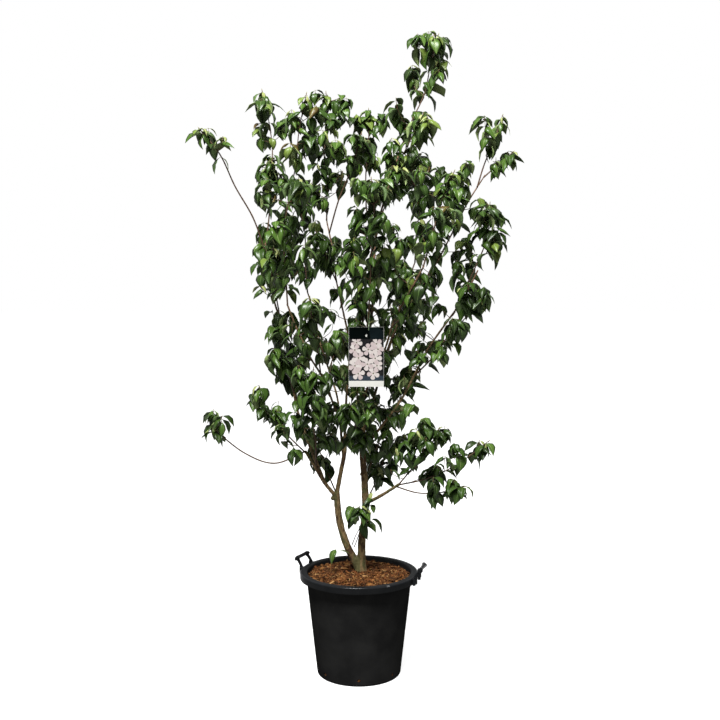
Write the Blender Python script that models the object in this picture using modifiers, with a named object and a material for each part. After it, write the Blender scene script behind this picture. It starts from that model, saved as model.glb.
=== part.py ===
"""Multi-stemmed dogwood in full leaf, in a black nursery pot, with a picture tag on a loop.

Metres, +Z up.  The pot stands on z = 0 with its axis on the origin, and the front of the
plant, where the tag hangs, looks along -Y.
"""

import math
import random

import bmesh
import bpy
import numpy as np
from mathutils import Matrix, Vector

# Gap between pieces that touch
GAP = 0.0003

# Pot
POT_HEIGHT = 0.464
RIM_RADIUS = 0.265
BODY_TOP_RADIUS = 0.236
BASE_RADIUS = 0.188
WALL = 0.004
FLOOR = 0.006
LIP_DEPTH = 0.030
LIP_WALL = 0.0035
LIP_ROUND = 0.006
LIP_DRAFT = 0.001
POT_SIDES = 36
DRAIN_HOLES = 7
DRAIN_RADIUS = 0.007
DRAIN_HEIGHT = 0.030
DRAIN_DRILL = 0.040

# Carrying handles, on the left towards the back and on the right towards the front
HANDLE_BEARINGS = {"pot_handle_left": 155.0, "pot_handle_right": -15.0}
HANDLE_SPREAD = 10.0
HANDLE_REACH = 0.024
HANDLE_RISE = 0.034
HANDLE_LIFT = 0.002
HANDLE_ROOT = 0.020
HANDLE_BEND = 0.004
HANDLE_CORNER = 0.011
HANDLE_ROD = 0.0062
BRACKET_SIZE = (0.013, 0.024, 0.036)

# Growing medium, domed towards the stems
SOIL_EDGE = 0.436
SOIL_SHOULDER = 0.452
SOIL_SHOULDER_RADIUS = 0.1534
SOIL_CROWN = 0.459
SOIL_FLAT_RADIUS = 0.060

# Stems inside the trunk: foot, tip, bow, radius at the foot and at the tip
STEMS = {
    "right_stem": ((0.012, 0.0, SOIL_CROWN + GAP), (0.022, 0.0, 1.150), (0.003, 0.0, 0.0), 0.0185, 0.0125),
    "left_stem": ((0.002, 0.0, 0.470), (-0.100, -0.020, 0.826), (-0.026, 0.0, 0.0), 0.0175, 0.0140),
}
FLARE_PLACE = (0.007, 0.0)
FLARE_HEIGHT = 0.075
FLARE = ((0.0, 0.029), (0.25, 0.025), (0.6, 0.022), (1.0, 0.016))
GROUND_BLOCK = (0.3, 0.3, 0.1)

# Boughs: name, parent, share of the parent where it leaves, tip, bow, radius at foot and tip
BOUGHS = [
    ("bough_left_inner", "left_stem", 0.97, (-0.064, 0.04, 1.105), (0.01, 0.008, 0.0), 0.0105, 0.0082),
    ("bough_left_outer", "left_stem", 0.93, (-0.236, -0.08, 1.021), (-0.006, 0.0, -0.004), 0.0092, 0.0066),
    ("bough_left", "bough_left_outer", 0.36, (-0.419, 0.08, 1.934), (-0.04, 0.045, 0.0), 0.0085, 0.005),
    ("bough_front_left", "bough_left_inner", 0.98, (-0.303, -0.2, 1.666), (0, -0.015, 0), 0.0072, 0.0052),
    ("bough_back_left", "bough_left_inner", 0.94, (-0.15, 0.2, 2.05), (0.04, 0.03, 0.0), 0.0074, 0.0046),
    ("bough_centre", "right_stem", 0.98, (0.184, 0.0, 2.347), (-0.05, 0.0, 0.0), 0.0105, 0.0048),
    ("bough_right", "right_stem", 0.93, (0.564, 0.1, 2.237), (-0.05, 0.055, 0.0), 0.0085, 0.0042),
    ("bough_right_side", "right_stem", 0.8, (0.501, -0.2, 1.809), (0.02, -0.015, 0.0), 0.008, 0.005),
    ("bough_low_right", "right_stem", 0.45, (0.175, -0.115, 0.88), (0.0, 0.0, -0.004), 0.0085, 0.0062),
    ("bough_back_centre", "bough_centre", 0.5, (0.033, 0.3, 2.11), (0.01, -0.02, 0.0), 0.0062, 0.0046),
    ("bough_front_right", "bough_centre", 0.09, (0.267, -0.3, 1.824), (-0.01, 0.0, 0.0), 0.007, 0.005),
    ("bough_front", "bough_centre", 0.27, (0.042, -0.255, 1.64), (0.0, 0.0, -0.02), 0.0064, 0.005),
    ("bough_back_right", "bough_right", 0.22, (0.27, 0.4, 1.86), (0.0, 0.04, 0.0), 0.0066, 0.0048),
    ("bough_back", "bough_left_inner", 0.55, (-0.25, 0.4, 1.72), (0.02, 0.06, 0.0), 0.0072, 0.0048),
]

# Foliage: name, parent, share of the parent, tip, bow, bare share of its stem, reach of its twigs
MASSES = [
    ("leaves_low_left_whip", "bough_left_outer", 0.99, (-0.625, -0.2, 1.14), (0.0, 0.0, -0.09), 0.93, 0.025),
    ("leaves_low_left_spray", "bough_left_outer", 0.93, (-0.47, 0.01, 1.27), (0.0, 0.0, -0.01), 0.45, 0.06),
    ("leaves_low_left_front", "bough_left_outer", 0.66, (-0.19, -0.25, 1.4), (0.0, -0.01, 0.0), 0.2, 0.09),
    ("leaves_left_side_low", "bough_left", 0.36, (-0.353, 0.0, 1.64), (-0.02, 0.0, 0.0), 0.25, 0.08),
    ("leaves_left_back_low", "bough_left", 0.3, (-0.33, 0.33, 1.44), (0.0, 0.02, 0.0), 0.3, 0.1),
    ("leaves_left_side_mid", "bough_left", 0.66, (-0.37, -0.06, 1.91), (-0.015, 0.0, 0.0), 0.2, 0.08),
    ("leaves_left_back_mid", "bough_left", 0.76, (-0.4, 0.31, 2.02), (0.0, 0.02, 0.0), 0.25, 0.075),
    ("leaves_left_top", "bough_left", 0.99, (-0.431, 0.1, 2.61), (0.035, 0.0, 0.0), 0.2, 0.062),
    ("leaves_far_left_whip", "bough_left", 0.95, (-0.69, -0.05, 2.42), (0.02, -0.02, 0.03), 0.7, 0.04),
    ("leaves_front_left_low", "bough_front_left", 0.45, (-0.201, -0.31, 1.697),
     (0.0, -0.02, 0.0), 0.25, 0.08),
    ("leaves_front_left_top", "bough_front_left", 0.99, (-0.215, -0.25, 2.53),
     (-0.035, 0.0, 0.0), 0.06, 0.09),
    ("leaves_back_left_mid", "bough_back_left", 0.7, (-0.192, 0.08, 1.987), (0.0, 0.0, 0.0), 0.25, 0.08),
    ("leaves_back_left_top", "bough_back_left", 0.99, (-0.15, 0.2, 2.62), (0.0, 0.0, 0.0), 0.08, 0.1),
    ("leaves_centre_whip", "bough_back_left", 0.93, (0.012, 0.08, 2.42), (0.0, -0.02, 0.0), 0.6, 0.075),
    ("leaves_back_top", "bough_back", 0.99, (-0.29, 0.44, 2.26), (0.0, 0.01, 0.0), 0.08, 0.11),
    ("leaves_back_low", "bough_back", 0.5, (-0.09, 0.42, 1.5), (0.0, 0.02, 0.0), 0.25, 0.11),
    ("leaves_low_centre", "right_stem", 0.8, (-0.04, -0.21, 1.25), (0.0, -0.02, 0.0), 0.12, 0.08),
    ("leaves_low_back", "right_stem", 0.45, (0.165, 0.15, 1.04), (0.0, 0.02, 0.0), 0.3, 0.09),
    ("leaves_left_knee", "left_stem", 0.97, (-0.242, 0.2, 1.101), (0.0, 0.02, 0.0), 0.35, 0.09),
    ("leaves_centre_mid", "bough_centre", 0.3, (-0.03, -0.08, 1.96), (-0.01, -0.02, 0.0), 0.15, 0.08),
    ("leaves_front_top", "bough_front", 0.99, (0.05, -0.32, 2.18), (0.01, -0.02, 0.0), 0.15, 0.1),
    ("leaves_centre_upper", "bough_centre", 0.74, (0.276, -0.11, 2.475), (-0.01, 0.0, 0.0), 0.2, 0.09),
    ("leaves_back_centre_top", "bough_back_centre", 0.99, (0.045, 0.35, 2.57), (0.0, 0.0, 0.0), 0.08, 0.11),
    ("leaves_crown_top", "bough_centre", 0.99, (0.345, 0.0, 2.828), (0.015, 0.0, 0.0), 0.08, 0.09),
    ("leaves_front_right_top", "bough_front_right", 0.99, (0.39, -0.3, 2.21),
     (-0.01, -0.01, 0.0), 0.08, 0.1),
    ("leaves_front_right_low", "bough_front_right", 0.55, (0.308, -0.14, 1.793),
     (0.01, 0.0, 0.0), 0.15, 0.09),
    ("leaves_right_mid", "bough_right", 0.6, (0.455, 0.0, 2.255), (0.01, 0.0, 0.0), 0.3, 0.08),
    ("leaves_right_inner", "bough_right", 0.76, (0.169, 0.09, 2.346), (-0.01, 0.0, 0.0), 0.3, 0.085),
    ("leaves_far_right_tip", "bough_right", 0.99, (0.69, 0.1, 2.34), (0.0, 0.0, 0.0), 0.25, 0.06),
    ("leaves_far_right_up", "bough_right", 0.95, (0.64, 0.1, 2.5), (0.0, 0.0, 0.0), 0.35, 0.06),
    ("leaves_right_side_top", "bough_right_side", 0.8, (0.55, -0.19, 2.09), (0.03, 0.0, 0.0), 0.08, 0.085),
    ("leaves_right_side_low", "bough_right_side", 0.42, (0.513, -0.28, 1.713),
     (0.01, -0.03, 0.0), 0.14, 0.08),
    ("leaves_right_side_back", "right_stem", 0.6, (0.238, 0.05, 1.384), (0.0, 0.02, 0.0), 0.12, 0.095),
    ("leaves_low_right_up", "bough_low_right", 0.99, (0.345, -0.14, 1.13), (0.01, 0.0, -0.01), 0.04, 0.1),
    ("leaves_low_right_spray", "bough_low_right", 0.96, (0.554, -0.2, 1.084),
     (0.0, 0.0, -0.04), 0.06, 0.085),
    ("leaves_stem_sprig", "right_stem", 0.3, (0.0, -0.11, 0.785), (0.0, 0.0, 0.0), 0.3, 0.04),
    ("leaves_low_right_whip", "bough_low_right", 0.9, (0.45, -0.26, 0.9), (0.0, 0.0, -0.03), 0.5, 0.05),
    ("leaves_back_right_top", "bough_back_right", 0.99, (0.31, 0.43, 2.35), (0.0, 0.0, 0.0), 0.08, 0.11),
    ("leaves_back_right_low", "bough_back_right", 0.5, (0.383, 0.3, 1.463), (0.0, 0.0, 0.0), 0.25, 0.1),
]

# Growth rule: a stem, pairs of twigs in tiers along it, leaves at the twigs' ends and at the tip
SEED = 3
KNOT_SPACING = 0.14
WANDER = 0.012
STEM_FOOT_RADIUS = 0.0042
STEM_TIP_RADIUS = 0.0026
SAMPLE_STEP = 0.01
TIER_SPACING = 0.155
TIER_START = 0.3
TWIG_RADIUS = (0.0038, 0.0034)
TWIG_TURN = 0.3
TWIG_LIFT = (20.0, 45.0)
TWIG_REACH = (0.7, 1.15)
REACH_AT_FOOT = 1.15
REACH_LOSS = 0.5

# Leaves at a twig's end: turn from its heading and distance back from the end
TWIG_LEAVES = ((-1.35, 0.010), (1.35, 0.010), (0.0, 0.003))
LEAVES_AT_TIP = 4
LEAF_TURN = 0.12
TIP_INSET = 0.004
ROOT_DEPTH = 0.001
LEAF_LENGTH = (0.105, 0.130)
LEAF_WIDTH = 0.50
LEAF_RIDGE = 0.20
LEAF_BREAK = 0.38
LEAF_WIDEST = 0.30
LEAF_THICKNESS = 0.026
LEAF_FOLD = 0.30
LEAF_DROOP = (4.0, 36.0)
LEAF_BEND = 38.0
LEAF_TRIES = 4

# Room that foliage keeps from its own leaves, other foliage and limbs, and that limbs are cut for
LEAF_MARGIN = 0.008
SPACE_MARGIN = 0.006
LIMB_MARGIN = 0.004
CUT_MARGIN = 0.004

# Picture tag and its loop
CARD_SIZE = (0.147, 0.0012, 0.251)
CARD_LEVEL = 1.4455
CARD_HOLE_RADIUS = 0.0040
CARD_HOLE_OFFSET = (0.010, 0.108)
CARD_CORNER = 0.004
CARD_DRILL = 0.010
LOOP_ROD = 0.0009
LOOP_EYE_RADIUS = 0.0030
LOOP_ON_BOUGH = 0.95


def paint(name, colour, roughness):
    """A plain plastic, wood or leaf material."""
    material = bpy.data.materials.new(name)
    material.use_nodes = True
    shader = material.node_tree.nodes["Principled BSDF"]
    shader.inputs["Base Color"].default_value = (*colour, 1.0)
    shader.inputs["Roughness"].default_value = roughness
    shader.inputs["Metallic"].default_value = 0.0
    return material


def start_scene():
    """Empties the scene and returns the plant's collection and the cutters' collection."""
    for old in list(bpy.data.objects):
        bpy.data.objects.remove(old, do_unlink=True)
    folders = []
    for name in ("dogwood_in_pot", "cutters"):
        folder = bpy.data.collections.new(name)
        bpy.context.scene.collection.children.link(folder)
        folders.append(folder)
    return folders


def add_object(name, mesh, folder):
    piece = bpy.data.objects.new(name, mesh)
    folder.objects.link(piece)
    return piece


def evaluated_mesh(piece):
    """A plain mesh of the piece with its modifiers or its curve's bevel worked out."""
    bpy.context.view_layer.update()
    depsgraph = bpy.context.evaluated_depsgraph_get()
    return bpy.data.meshes.new_from_object(piece.evaluated_get(depsgraph))


def boolean(piece, others, operation, cutters):
    """Joins the others to the piece, or cuts them from it, and removes them."""
    for other in others:
        for folder in list(other.users_collection):
            folder.objects.unlink(other)
        cutters.objects.link(other)
        other.hide_render = True
        other.display_type = "WIRE"
    step = piece.modifiers.new("boolean", "BOOLEAN")
    step.operation = operation
    step.solver = "EXACT"
    step.operand_type = "COLLECTION"
    step.collection = cutters
    result = evaluated_mesh(piece)
    piece.modifiers.clear()
    piece.data = result
    for other in others:
        bpy.data.objects.remove(other, do_unlink=True)


def keep_largest_body(piece):
    """Drops loose scraps and the skins of sealed hollows, leaving the one outer body."""
    bm = bmesh.new()
    bm.from_mesh(piece.data)
    left = set(bm.faces)
    bodies = []
    while left:
        body = [left.pop()]
        for face in body:
            near = {other for edge in face.edges for other in edge.link_faces}
            body.extend(near & left)
            left -= near
        bodies.append(body)
    bodies.sort(key=lambda body: sum(face.calc_area() for face in body))
    for body in bodies[:-1]:
        bmesh.ops.delete(bm, geom=body, context="FACES")
    bmesh.ops.delete(bm, geom=[vert for vert in bm.verts if not vert.link_faces], context="VERTS")
    bm.to_mesh(piece.data)
    bm.free()


def shade_round(piece, angle=40.0):
    piece.data.shade_smooth()
    piece.data.set_sharp_from_angle(angle=math.radians(angle))


def turned(name, profile, folder, material):
    """A profile of (radius, height) turned about Z, run from the inside over to the outside."""
    mesh = bpy.data.meshes.new(name)
    points = [(radius, 0.0, height) for radius, height in profile]
    mesh.from_pydata(points, [(i, i + 1) for i in range(len(points) - 1)], [])
    piece = add_object(name, mesh, folder)
    turn = piece.modifiers.new("turn", "SCREW")
    turn.axis = "Z"
    turn.steps = POT_SIDES
    turn.render_steps = POT_SIDES
    turn.use_merge_vertices = True
    turn.merge_threshold = 0.0001
    piece.data = evaluated_mesh(piece)
    piece.modifiers.clear()
    piece.data.materials.append(material)
    return piece


def tube(name, points, radii, resolution, folder, cyclic=False):
    """A round rod along the points, as a closed mesh of 4 + 2 * resolution sides."""
    curve = bpy.data.curves.new(name, "CURVE")
    curve.dimensions = "3D"
    curve.bevel_depth = 1.0
    curve.bevel_resolution = resolution
    curve.use_fill_caps = True
    spline = curve.splines.new("POLY")
    spline.use_cyclic_u = cyclic
    spline.points.add(len(points) - 1)
    for knot, point, radius in zip(spline.points, points, radii):
        knot.co = (*point, 1.0)
        knot.radius = radius
    guide = add_object(name + "_guide", curve, folder)
    mesh = evaluated_mesh(guide)
    bpy.data.objects.remove(guide, do_unlink=True)
    bm = bmesh.new()
    bm.from_mesh(mesh)
    bmesh.ops.remove_doubles(bm, verts=bm.verts, dist=0.00001)
    bm.to_mesh(mesh)
    bm.free()
    return add_object(name, mesh, folder)


def box(name, size, place, folder):
    """A block of the size, put where the matrix says."""
    bm = bmesh.new()
    bmesh.ops.create_cube(bm, size=1.0, matrix=place @ Matrix.Diagonal((*size, 1.0)))
    mesh = bpy.data.meshes.new(name)
    bm.to_mesh(mesh)
    bm.free()
    return add_object(name, mesh, folder)


def pot_radius(height):
    """Outer radius of the tapered wall at a height."""
    share = height / (POT_HEIGHT - LIP_DEPTH)
    return BASE_RADIUS + (BODY_TOP_RADIUS - BASE_RADIUS) * share


def make_pot(folder, cutters, plastic):
    """The tapered shell with its rolled-over lip and the drain holes round its foot."""
    lip_foot = POT_HEIGHT - LIP_DEPTH
    lip_under = POT_HEIGHT - LIP_ROUND - LIP_WALL
    inner_top = BODY_TOP_RADIUS - WALL
    profile = [
        (0.0, FLOOR),
        (pot_radius(FLOOR) - WALL, FLOOR),
        (inner_top, lip_foot),
        (inner_top + LIP_DRAFT, POT_HEIGHT - LIP_ROUND),
        (inner_top + LIP_ROUND, POT_HEIGHT),
        (RIM_RADIUS - LIP_ROUND, POT_HEIGHT),
        (RIM_RADIUS, POT_HEIGHT - LIP_ROUND),
        (RIM_RADIUS, lip_foot),
        (RIM_RADIUS - LIP_WALL, lip_foot),
        (RIM_RADIUS - LIP_WALL, lip_under),
        (BODY_TOP_RADIUS + LIP_WALL, lip_under),
        (BODY_TOP_RADIUS, lip_foot),
        (pot_radius(FLOOR), FLOOR),
        (BASE_RADIUS - FLOOR, 0.0),
        (0.0, 0.0),
    ]
    pot = turned("pot", profile, folder, plastic)
    drills = []
    for index in range(DRAIN_HOLES):
        bearing = math.radians(-90.0 + 360.0 * index / DRAIN_HOLES)
        turn = Matrix.Rotation(bearing, 4, "Z") @ Matrix.Rotation(math.radians(90.0), 4, "Y")
        place = Matrix.Translation((0.0, 0.0, DRAIN_HEIGHT)) @ turn
        bm = bmesh.new()
        bmesh.ops.create_cone(
            bm, segments=8, radius1=DRAIN_RADIUS, radius2=DRAIN_RADIUS, depth=DRAIN_DRILL, cap_ends=True,
            matrix=place @ Matrix.Translation((0.0, 0.0, pot_radius(DRAIN_HEIGHT))),
        )
        mesh = bpy.data.meshes.new("drain")
        bm.to_mesh(mesh)
        bm.free()
        drills.append(add_object("drain", mesh, cutters))
    boolean(pot, drills, "DIFFERENCE", cutters)
    shade_round(pot)
    return pot


def make_handle(name, bearing, folder, cutters, plastic):
    """A bail that rises outwards from two brackets, each flat against a facet of the lip."""
    seat = RIM_RADIUS * math.cos(math.pi / POT_SIDES) + GAP
    outside = seat + 0.5 * BRACKET_SIZE[0]
    spread = math.radians(HANDLE_SPREAD)
    root = outside * math.sin(spread)
    start = outside * math.cos(spread)
    foot = POT_HEIGHT + HANDLE_LIFT
    side = [
        (start, root, foot - HANDLE_ROOT),
        (start, root, foot - HANDLE_BEND),
        (start + 0.25 * HANDLE_REACH, root, foot + 0.25 * HANDLE_RISE),
        (start + 0.85 * HANDLE_REACH, root - 0.001, foot + 0.82 * HANDLE_RISE),
        (start + HANDLE_REACH, root - HANDLE_CORNER, foot + HANDLE_RISE),
    ]
    path = side + [(x, -y, z) for x, y, z in reversed(side)]
    turn = Matrix.Rotation(math.radians(bearing), 4, "Z")
    points = [turn @ Vector(point) for point in path]
    handle = tube(name, points, [HANDLE_ROD] * len(points), 1, folder)
    brackets = []
    for lean in (-spread, spread):
        place = turn @ Matrix.Rotation(lean, 4, "Z")
        place = place @ Matrix.Translation((outside, 0.0, foot - 0.5 * BRACKET_SIZE[2]))
        brackets.append(box("bracket", BRACKET_SIZE, place, cutters))
    boolean(handle, brackets, "UNION", cutters)
    keep_largest_body(handle)
    handle.data.materials.append(plastic)
    shade_round(handle)
    return handle


def make_soil(folder, mulch):
    """The filling of the pot, a bark mulch dome that is flat under the stems."""
    shrink = WALL + 2.0 * GAP
    profile = [
        (0.0, SOIL_CROWN),
        (SOIL_FLAT_RADIUS, SOIL_CROWN),
        (SOIL_SHOULDER_RADIUS, SOIL_SHOULDER),
        (BODY_TOP_RADIUS - shrink, SOIL_EDGE),
        (pot_radius(FLOOR) - shrink, FLOOR + GAP),
        (0.0, FLOOR + GAP),
    ]
    soil = turned("soil", profile, folder, mulch)
    shade_round(soil)
    return soil


def bowed(foot, tip, bow, phase, share):
    """A point on the bowed and slightly wandering line from foot to tip."""
    run = tip - foot
    side = run.orthogonal().normalized()
    other = side.cross(run.normalized())
    sway = WANDER * run.length * math.sin(math.pi * share)
    drift = side * math.sin(phase + 3.0 * math.pi * share)
    drift += other * math.cos(phase + 2.2 * math.pi * share)
    return foot.lerp(tip, share) + bow * (4.0 * share * (1.0 - share)) + drift * sway


class Plant:
    """Where every stem, bough and mass runs, worked out from the tables above."""

    def __init__(self):
        self.knots = {}
        self.radii = {}
        for name, (foot, tip, bow, wide, thin) in STEMS.items():
            self.add(name, Vector(foot), Vector(tip), Vector(bow), wide, thin)
        for name, parent, share, tip, bow, wide, thin in BOUGHS:
            self.add(name, self.at(parent, share), Vector(tip), Vector(bow), wide, thin)
        for name, parent, share, tip, bow, _bare, _reach in MASSES:
            foot = self.at(parent, share)
            self.add(name, foot, Vector(tip), Vector(bow), STEM_FOOT_RADIUS, STEM_TIP_RADIUS)
        self.masses = [row[0] for row in MASSES]
        self.samples = {name: self.sample(name) for name in self.knots}

    def add(self, name, foot, tip, bow, wide, thin):
        """Lays a limb's centre line as evenly spaced knots with straight runs between them."""
        phase = random.Random(f"{SEED} path {name}").uniform(0.0, math.tau)
        runs = max(3, round((tip - foot).length / KNOT_SPACING))
        self.knots[name] = [bowed(foot, tip, bow, phase, index / runs) for index in range(runs + 1)]
        self.radii[name] = (wide, thin)

    def at(self, name, share):
        """The point on a limb's centre line at a share of its length."""
        knots = self.knots[name]
        place = share * (len(knots) - 1)
        index = min(int(place), len(knots) - 2)
        return knots[index].lerp(knots[index + 1], place - index)

    def length(self, name):
        return (self.knots[name][-1] - self.knots[name][0]).length

    def radius(self, name, share):
        wide, thin = self.radii[name]
        return wide + (thin - wide) * share

    def sample(self, name):
        """Evenly spaced points along a limb, with the limb's radius at each."""
        count = max(4, round(self.length(name) / SAMPLE_STEP))
        shares = [index / count for index in range(count + 1)]
        points = np.array([self.at(name, share) for share in shares])
        return points, np.array([self.radius(name, share) for share in shares])

    def prepare_space(self, mass):
        """Gathers what a mass has to keep clear of: the other masses' stems and the limbs."""
        others = [self.samples[name][0] for name in self.masses if name != mass]
        limbs = [self.samples[name] for name in self.samples if name not in self.masses]
        self.own = self.samples[mass][0]
        self.taken = [Vector(point) for point in self.own]
        self.other = np.concatenate(others)
        self.limb = np.concatenate([points for points, radii in limbs])
        self.limb_radii = np.concatenate([radii for points, radii in limbs])

    def apart(self, points):
        """True where the points keep off what the mass has grown so far."""
        taken = np.array(self.taken)
        return bool((np.linalg.norm(np.array(points)[:, None] - taken, axis=2) > LEAF_MARGIN).all())

    def clear(self, points):
        """True where all the points lie in the mass's own space and off every limb."""
        points = np.array(points)
        own = np.linalg.norm(points[:, None] - self.own, axis=2).min(axis=1)
        other = np.linalg.norm(points[:, None] - self.other, axis=2).min(axis=1)
        limb = (np.linalg.norm(points[:, None] - self.limb, axis=2) - self.limb_radii).min(axis=1)
        return bool((own + SPACE_MARGIN < other).all() and (limb > LIMB_MARGIN).all())


def limb_tube(plant, name, resolution, folder, grow=0.0):
    """A tapering limb; with grow it is the cutter that leaves the gap round that limb."""
    points = list(plant.knots[name])
    runs = len(points) - 1
    radii = [plant.radius(name, index / runs) + grow for index in range(runs + 1)]
    if grow:
        points[0] = points[0] + (points[0] - points[1]).normalized() * grow
        points[-1] = points[-1] + (points[-1] - points[-2]).normalized() * grow
    return tube(name, points, radii, resolution, folder)


def sides_of(plant, name):
    """Curve resolution by thickness: stems 8 sides, boughs 6, foliage stems 4."""
    if name in STEMS:
        return 2
    return 0 if name in plant.masses else 1


def cut_clear(plant, piece, name, earlier, cutters):
    """Cuts away what earlier limbs take up near this one, with the gap round them."""
    points, radii = plant.samples[name]
    knives = []
    for other in earlier:
        other_points, other_radii = plant.samples[other]
        apart = np.linalg.norm(points[:, None] - other_points, axis=2)
        room = apart - radii[:, None] - other_radii - CUT_MARGIN
        if room.min() < 0.0:
            knives.append(limb_tube(plant, other, sides_of(plant, other), cutters, grow=GAP))
    if knives:
        boolean(piece, knives, "DIFFERENCE", cutters)
        keep_largest_body(piece)


def make_trunk(plant, folder, cutters, bark):
    """Both stems and the flare they share, cut flat where they leave the mulch."""
    trunk = limb_tube(plant, "right_stem", 2, folder)
    trunk.name = "trunk"
    left = limb_tube(plant, "left_stem", 2, cutters)
    ground = SOIL_CROWN + GAP
    heart = [Vector((*FLARE_PLACE, ground + FLARE_HEIGHT * share)) for share, _radius in FLARE]
    flare = tube("flare", heart, [radius for _share, radius in FLARE], 2, cutters)
    boolean(trunk, [left, flare], "UNION", cutters)
    under = Matrix.Translation((0.0, 0.0, ground - 0.5 * GROUND_BLOCK[2]))
    block = box("ground", GROUND_BLOCK, under, cutters)
    boolean(trunk, [block], "DIFFERENCE", cutters)
    keep_largest_body(trunk)
    trunk.data.materials.append(bark)
    shade_round(trunk, 50.0)
    return trunk


def make_bough(plant, name, earlier, folder, cutters, bark):
    bough = limb_tube(plant, name, 1, folder)
    cut_clear(plant, bough, name, earlier, cutters)
    bough.data.materials.append(bark)
    shade_round(bough, 70.0)
    return bough


def leaf_shape(base, out, droop, length):
    """The six corners of one leaf: root, tip, two edges, ridge above and below."""
    side = Vector((-out.y, out.x, 0.0)).normalized()
    bend = droop + math.radians(LEAF_BEND)
    first = out * math.cos(droop) - Vector((0.0, 0.0, math.sin(droop)))
    last = out * math.cos(bend) - Vector((0.0, 0.0, math.sin(bend)))
    above = side.cross(first).normalized()
    above = above if above.z > 0.0 else -above
    ridge = base + first * (LEAF_RIDGE * length)
    tip = base + first * (LEAF_BREAK * length) + last * ((1.0 - LEAF_BREAK) * length)
    middle = ridge.lerp(tip, LEAF_WIDEST)
    half_width = 0.5 * LEAF_WIDTH * length
    half_thick = 0.5 * LEAF_THICKNESS * length
    edge = above * (-LEAF_FOLD * half_width)
    return {
        "root": base,
        "tip": tip,
        "left": middle + side * half_width + edge,
        "right": middle - side * half_width + edge,
        "above": ridge + above * half_thick,
        "below": ridge - above * half_thick,
    }


def leaf_test_points(corners):
    """Points over the leaf for the test of its space."""
    spine = [corners["root"].lerp(corners["tip"], share) for share in (0.35, 0.55, 0.75, 0.9, 1.0)]
    spine += [corners["above"], corners["below"]]
    for edge in ("left", "right"):
        for share in (0.35, 0.7, 1.0):
            spine.append(corners["above"].lerp(corners[edge], share))
        for share in (0.25, 0.5, 0.75):
            spine.append(corners[edge].lerp(corners["tip"], share))
            spine.append(corners[edge].lerp(corners["root"], share * 0.6))
    return spine


def make_leaf(corners, folder):
    """An eight-faced ball whose corners are moved to the leaf's."""
    places = {
        (0, 0, -1): "root", (0, 0, 1): "tip", (1, 0, 0): "left",
        (-1, 0, 0): "right", (0, 1, 0): "above", (0, -1, 0): "below",
    }
    bm = bmesh.new()
    bmesh.ops.create_uvsphere(bm, u_segments=4, v_segments=2, radius=1.0)
    for vert in bm.verts:
        vert.co = corners[places[tuple(round(value) for value in vert.co)]]
    if bm.calc_volume(signed=True) < 0.0:
        bmesh.ops.reverse_faces(bm, faces=bm.faces)
    mesh = bpy.data.meshes.new("leaf")
    bm.to_mesh(mesh)
    bm.free()
    return add_object("leaf", mesh, folder)


def make_twig(start, end, folder):
    """A three-sided twig from its root to its tip."""
    run = end - start
    place = Matrix.Translation((start + end) * 0.5) @ run.to_track_quat("Z", "Y").to_matrix().to_4x4()
    bm = bmesh.new()
    bmesh.ops.create_cone(
        bm, segments=3, radius1=TWIG_RADIUS[0], radius2=TWIG_RADIUS[1], depth=run.length,
        cap_ends=True, matrix=place,
    )
    mesh = bpy.data.meshes.new("twig")
    bm.to_mesh(mesh)
    bm.free()
    return add_object("twig", mesh, folder)


def hang_leaf(plant, root, heading, rng, folder):
    """One leaf that hangs outwards from its root, or nothing where no droop finds it room."""
    length = rng.uniform(*LEAF_LENGTH)
    out = Vector((math.cos(heading), math.sin(heading), 0.0))
    for _attempt in range(LEAF_TRIES):
        droop = math.radians(rng.uniform(*LEAF_DROOP))
        corners = leaf_shape(root - out * ROOT_DEPTH, out, droop, length)
        points = leaf_test_points(corners)
        far_points = [point for point in points if (point - root).length > 0.3 * length]
        if plant.clear(points) and plant.apart(far_points):
            plant.taken.extend(far_points)
            return [make_leaf(corners, folder)]
    return []


def twig_leaves(plant, start, end, heading, rng, folder):
    """A leaf to each side of a twig's end and one in line with it."""
    back = (start - end).normalized()
    leaves = []
    for turn, step in TWIG_LEAVES:
        course = heading + turn + rng.uniform(-LEAF_TURN, LEAF_TURN)
        leaves += hang_leaf(plant, end + back * step, course, rng, folder)
    return leaves


def tip_leaves(plant, name, rng, folder):
    """Leaves crosswise round the tip of a foliage stem."""
    share = 1.0 - TIP_INSET / plant.length(name)
    heading = rng.uniform(0.0, math.tau)
    leaves = []
    for index in range(LEAVES_AT_TIP):
        course = heading + math.tau * index / LEAVES_AT_TIP + rng.uniform(-LEAF_TURN, LEAF_TURN)
        leaves += hang_leaf(plant, plant.at(name, share), course, rng, folder)
    return leaves


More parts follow.
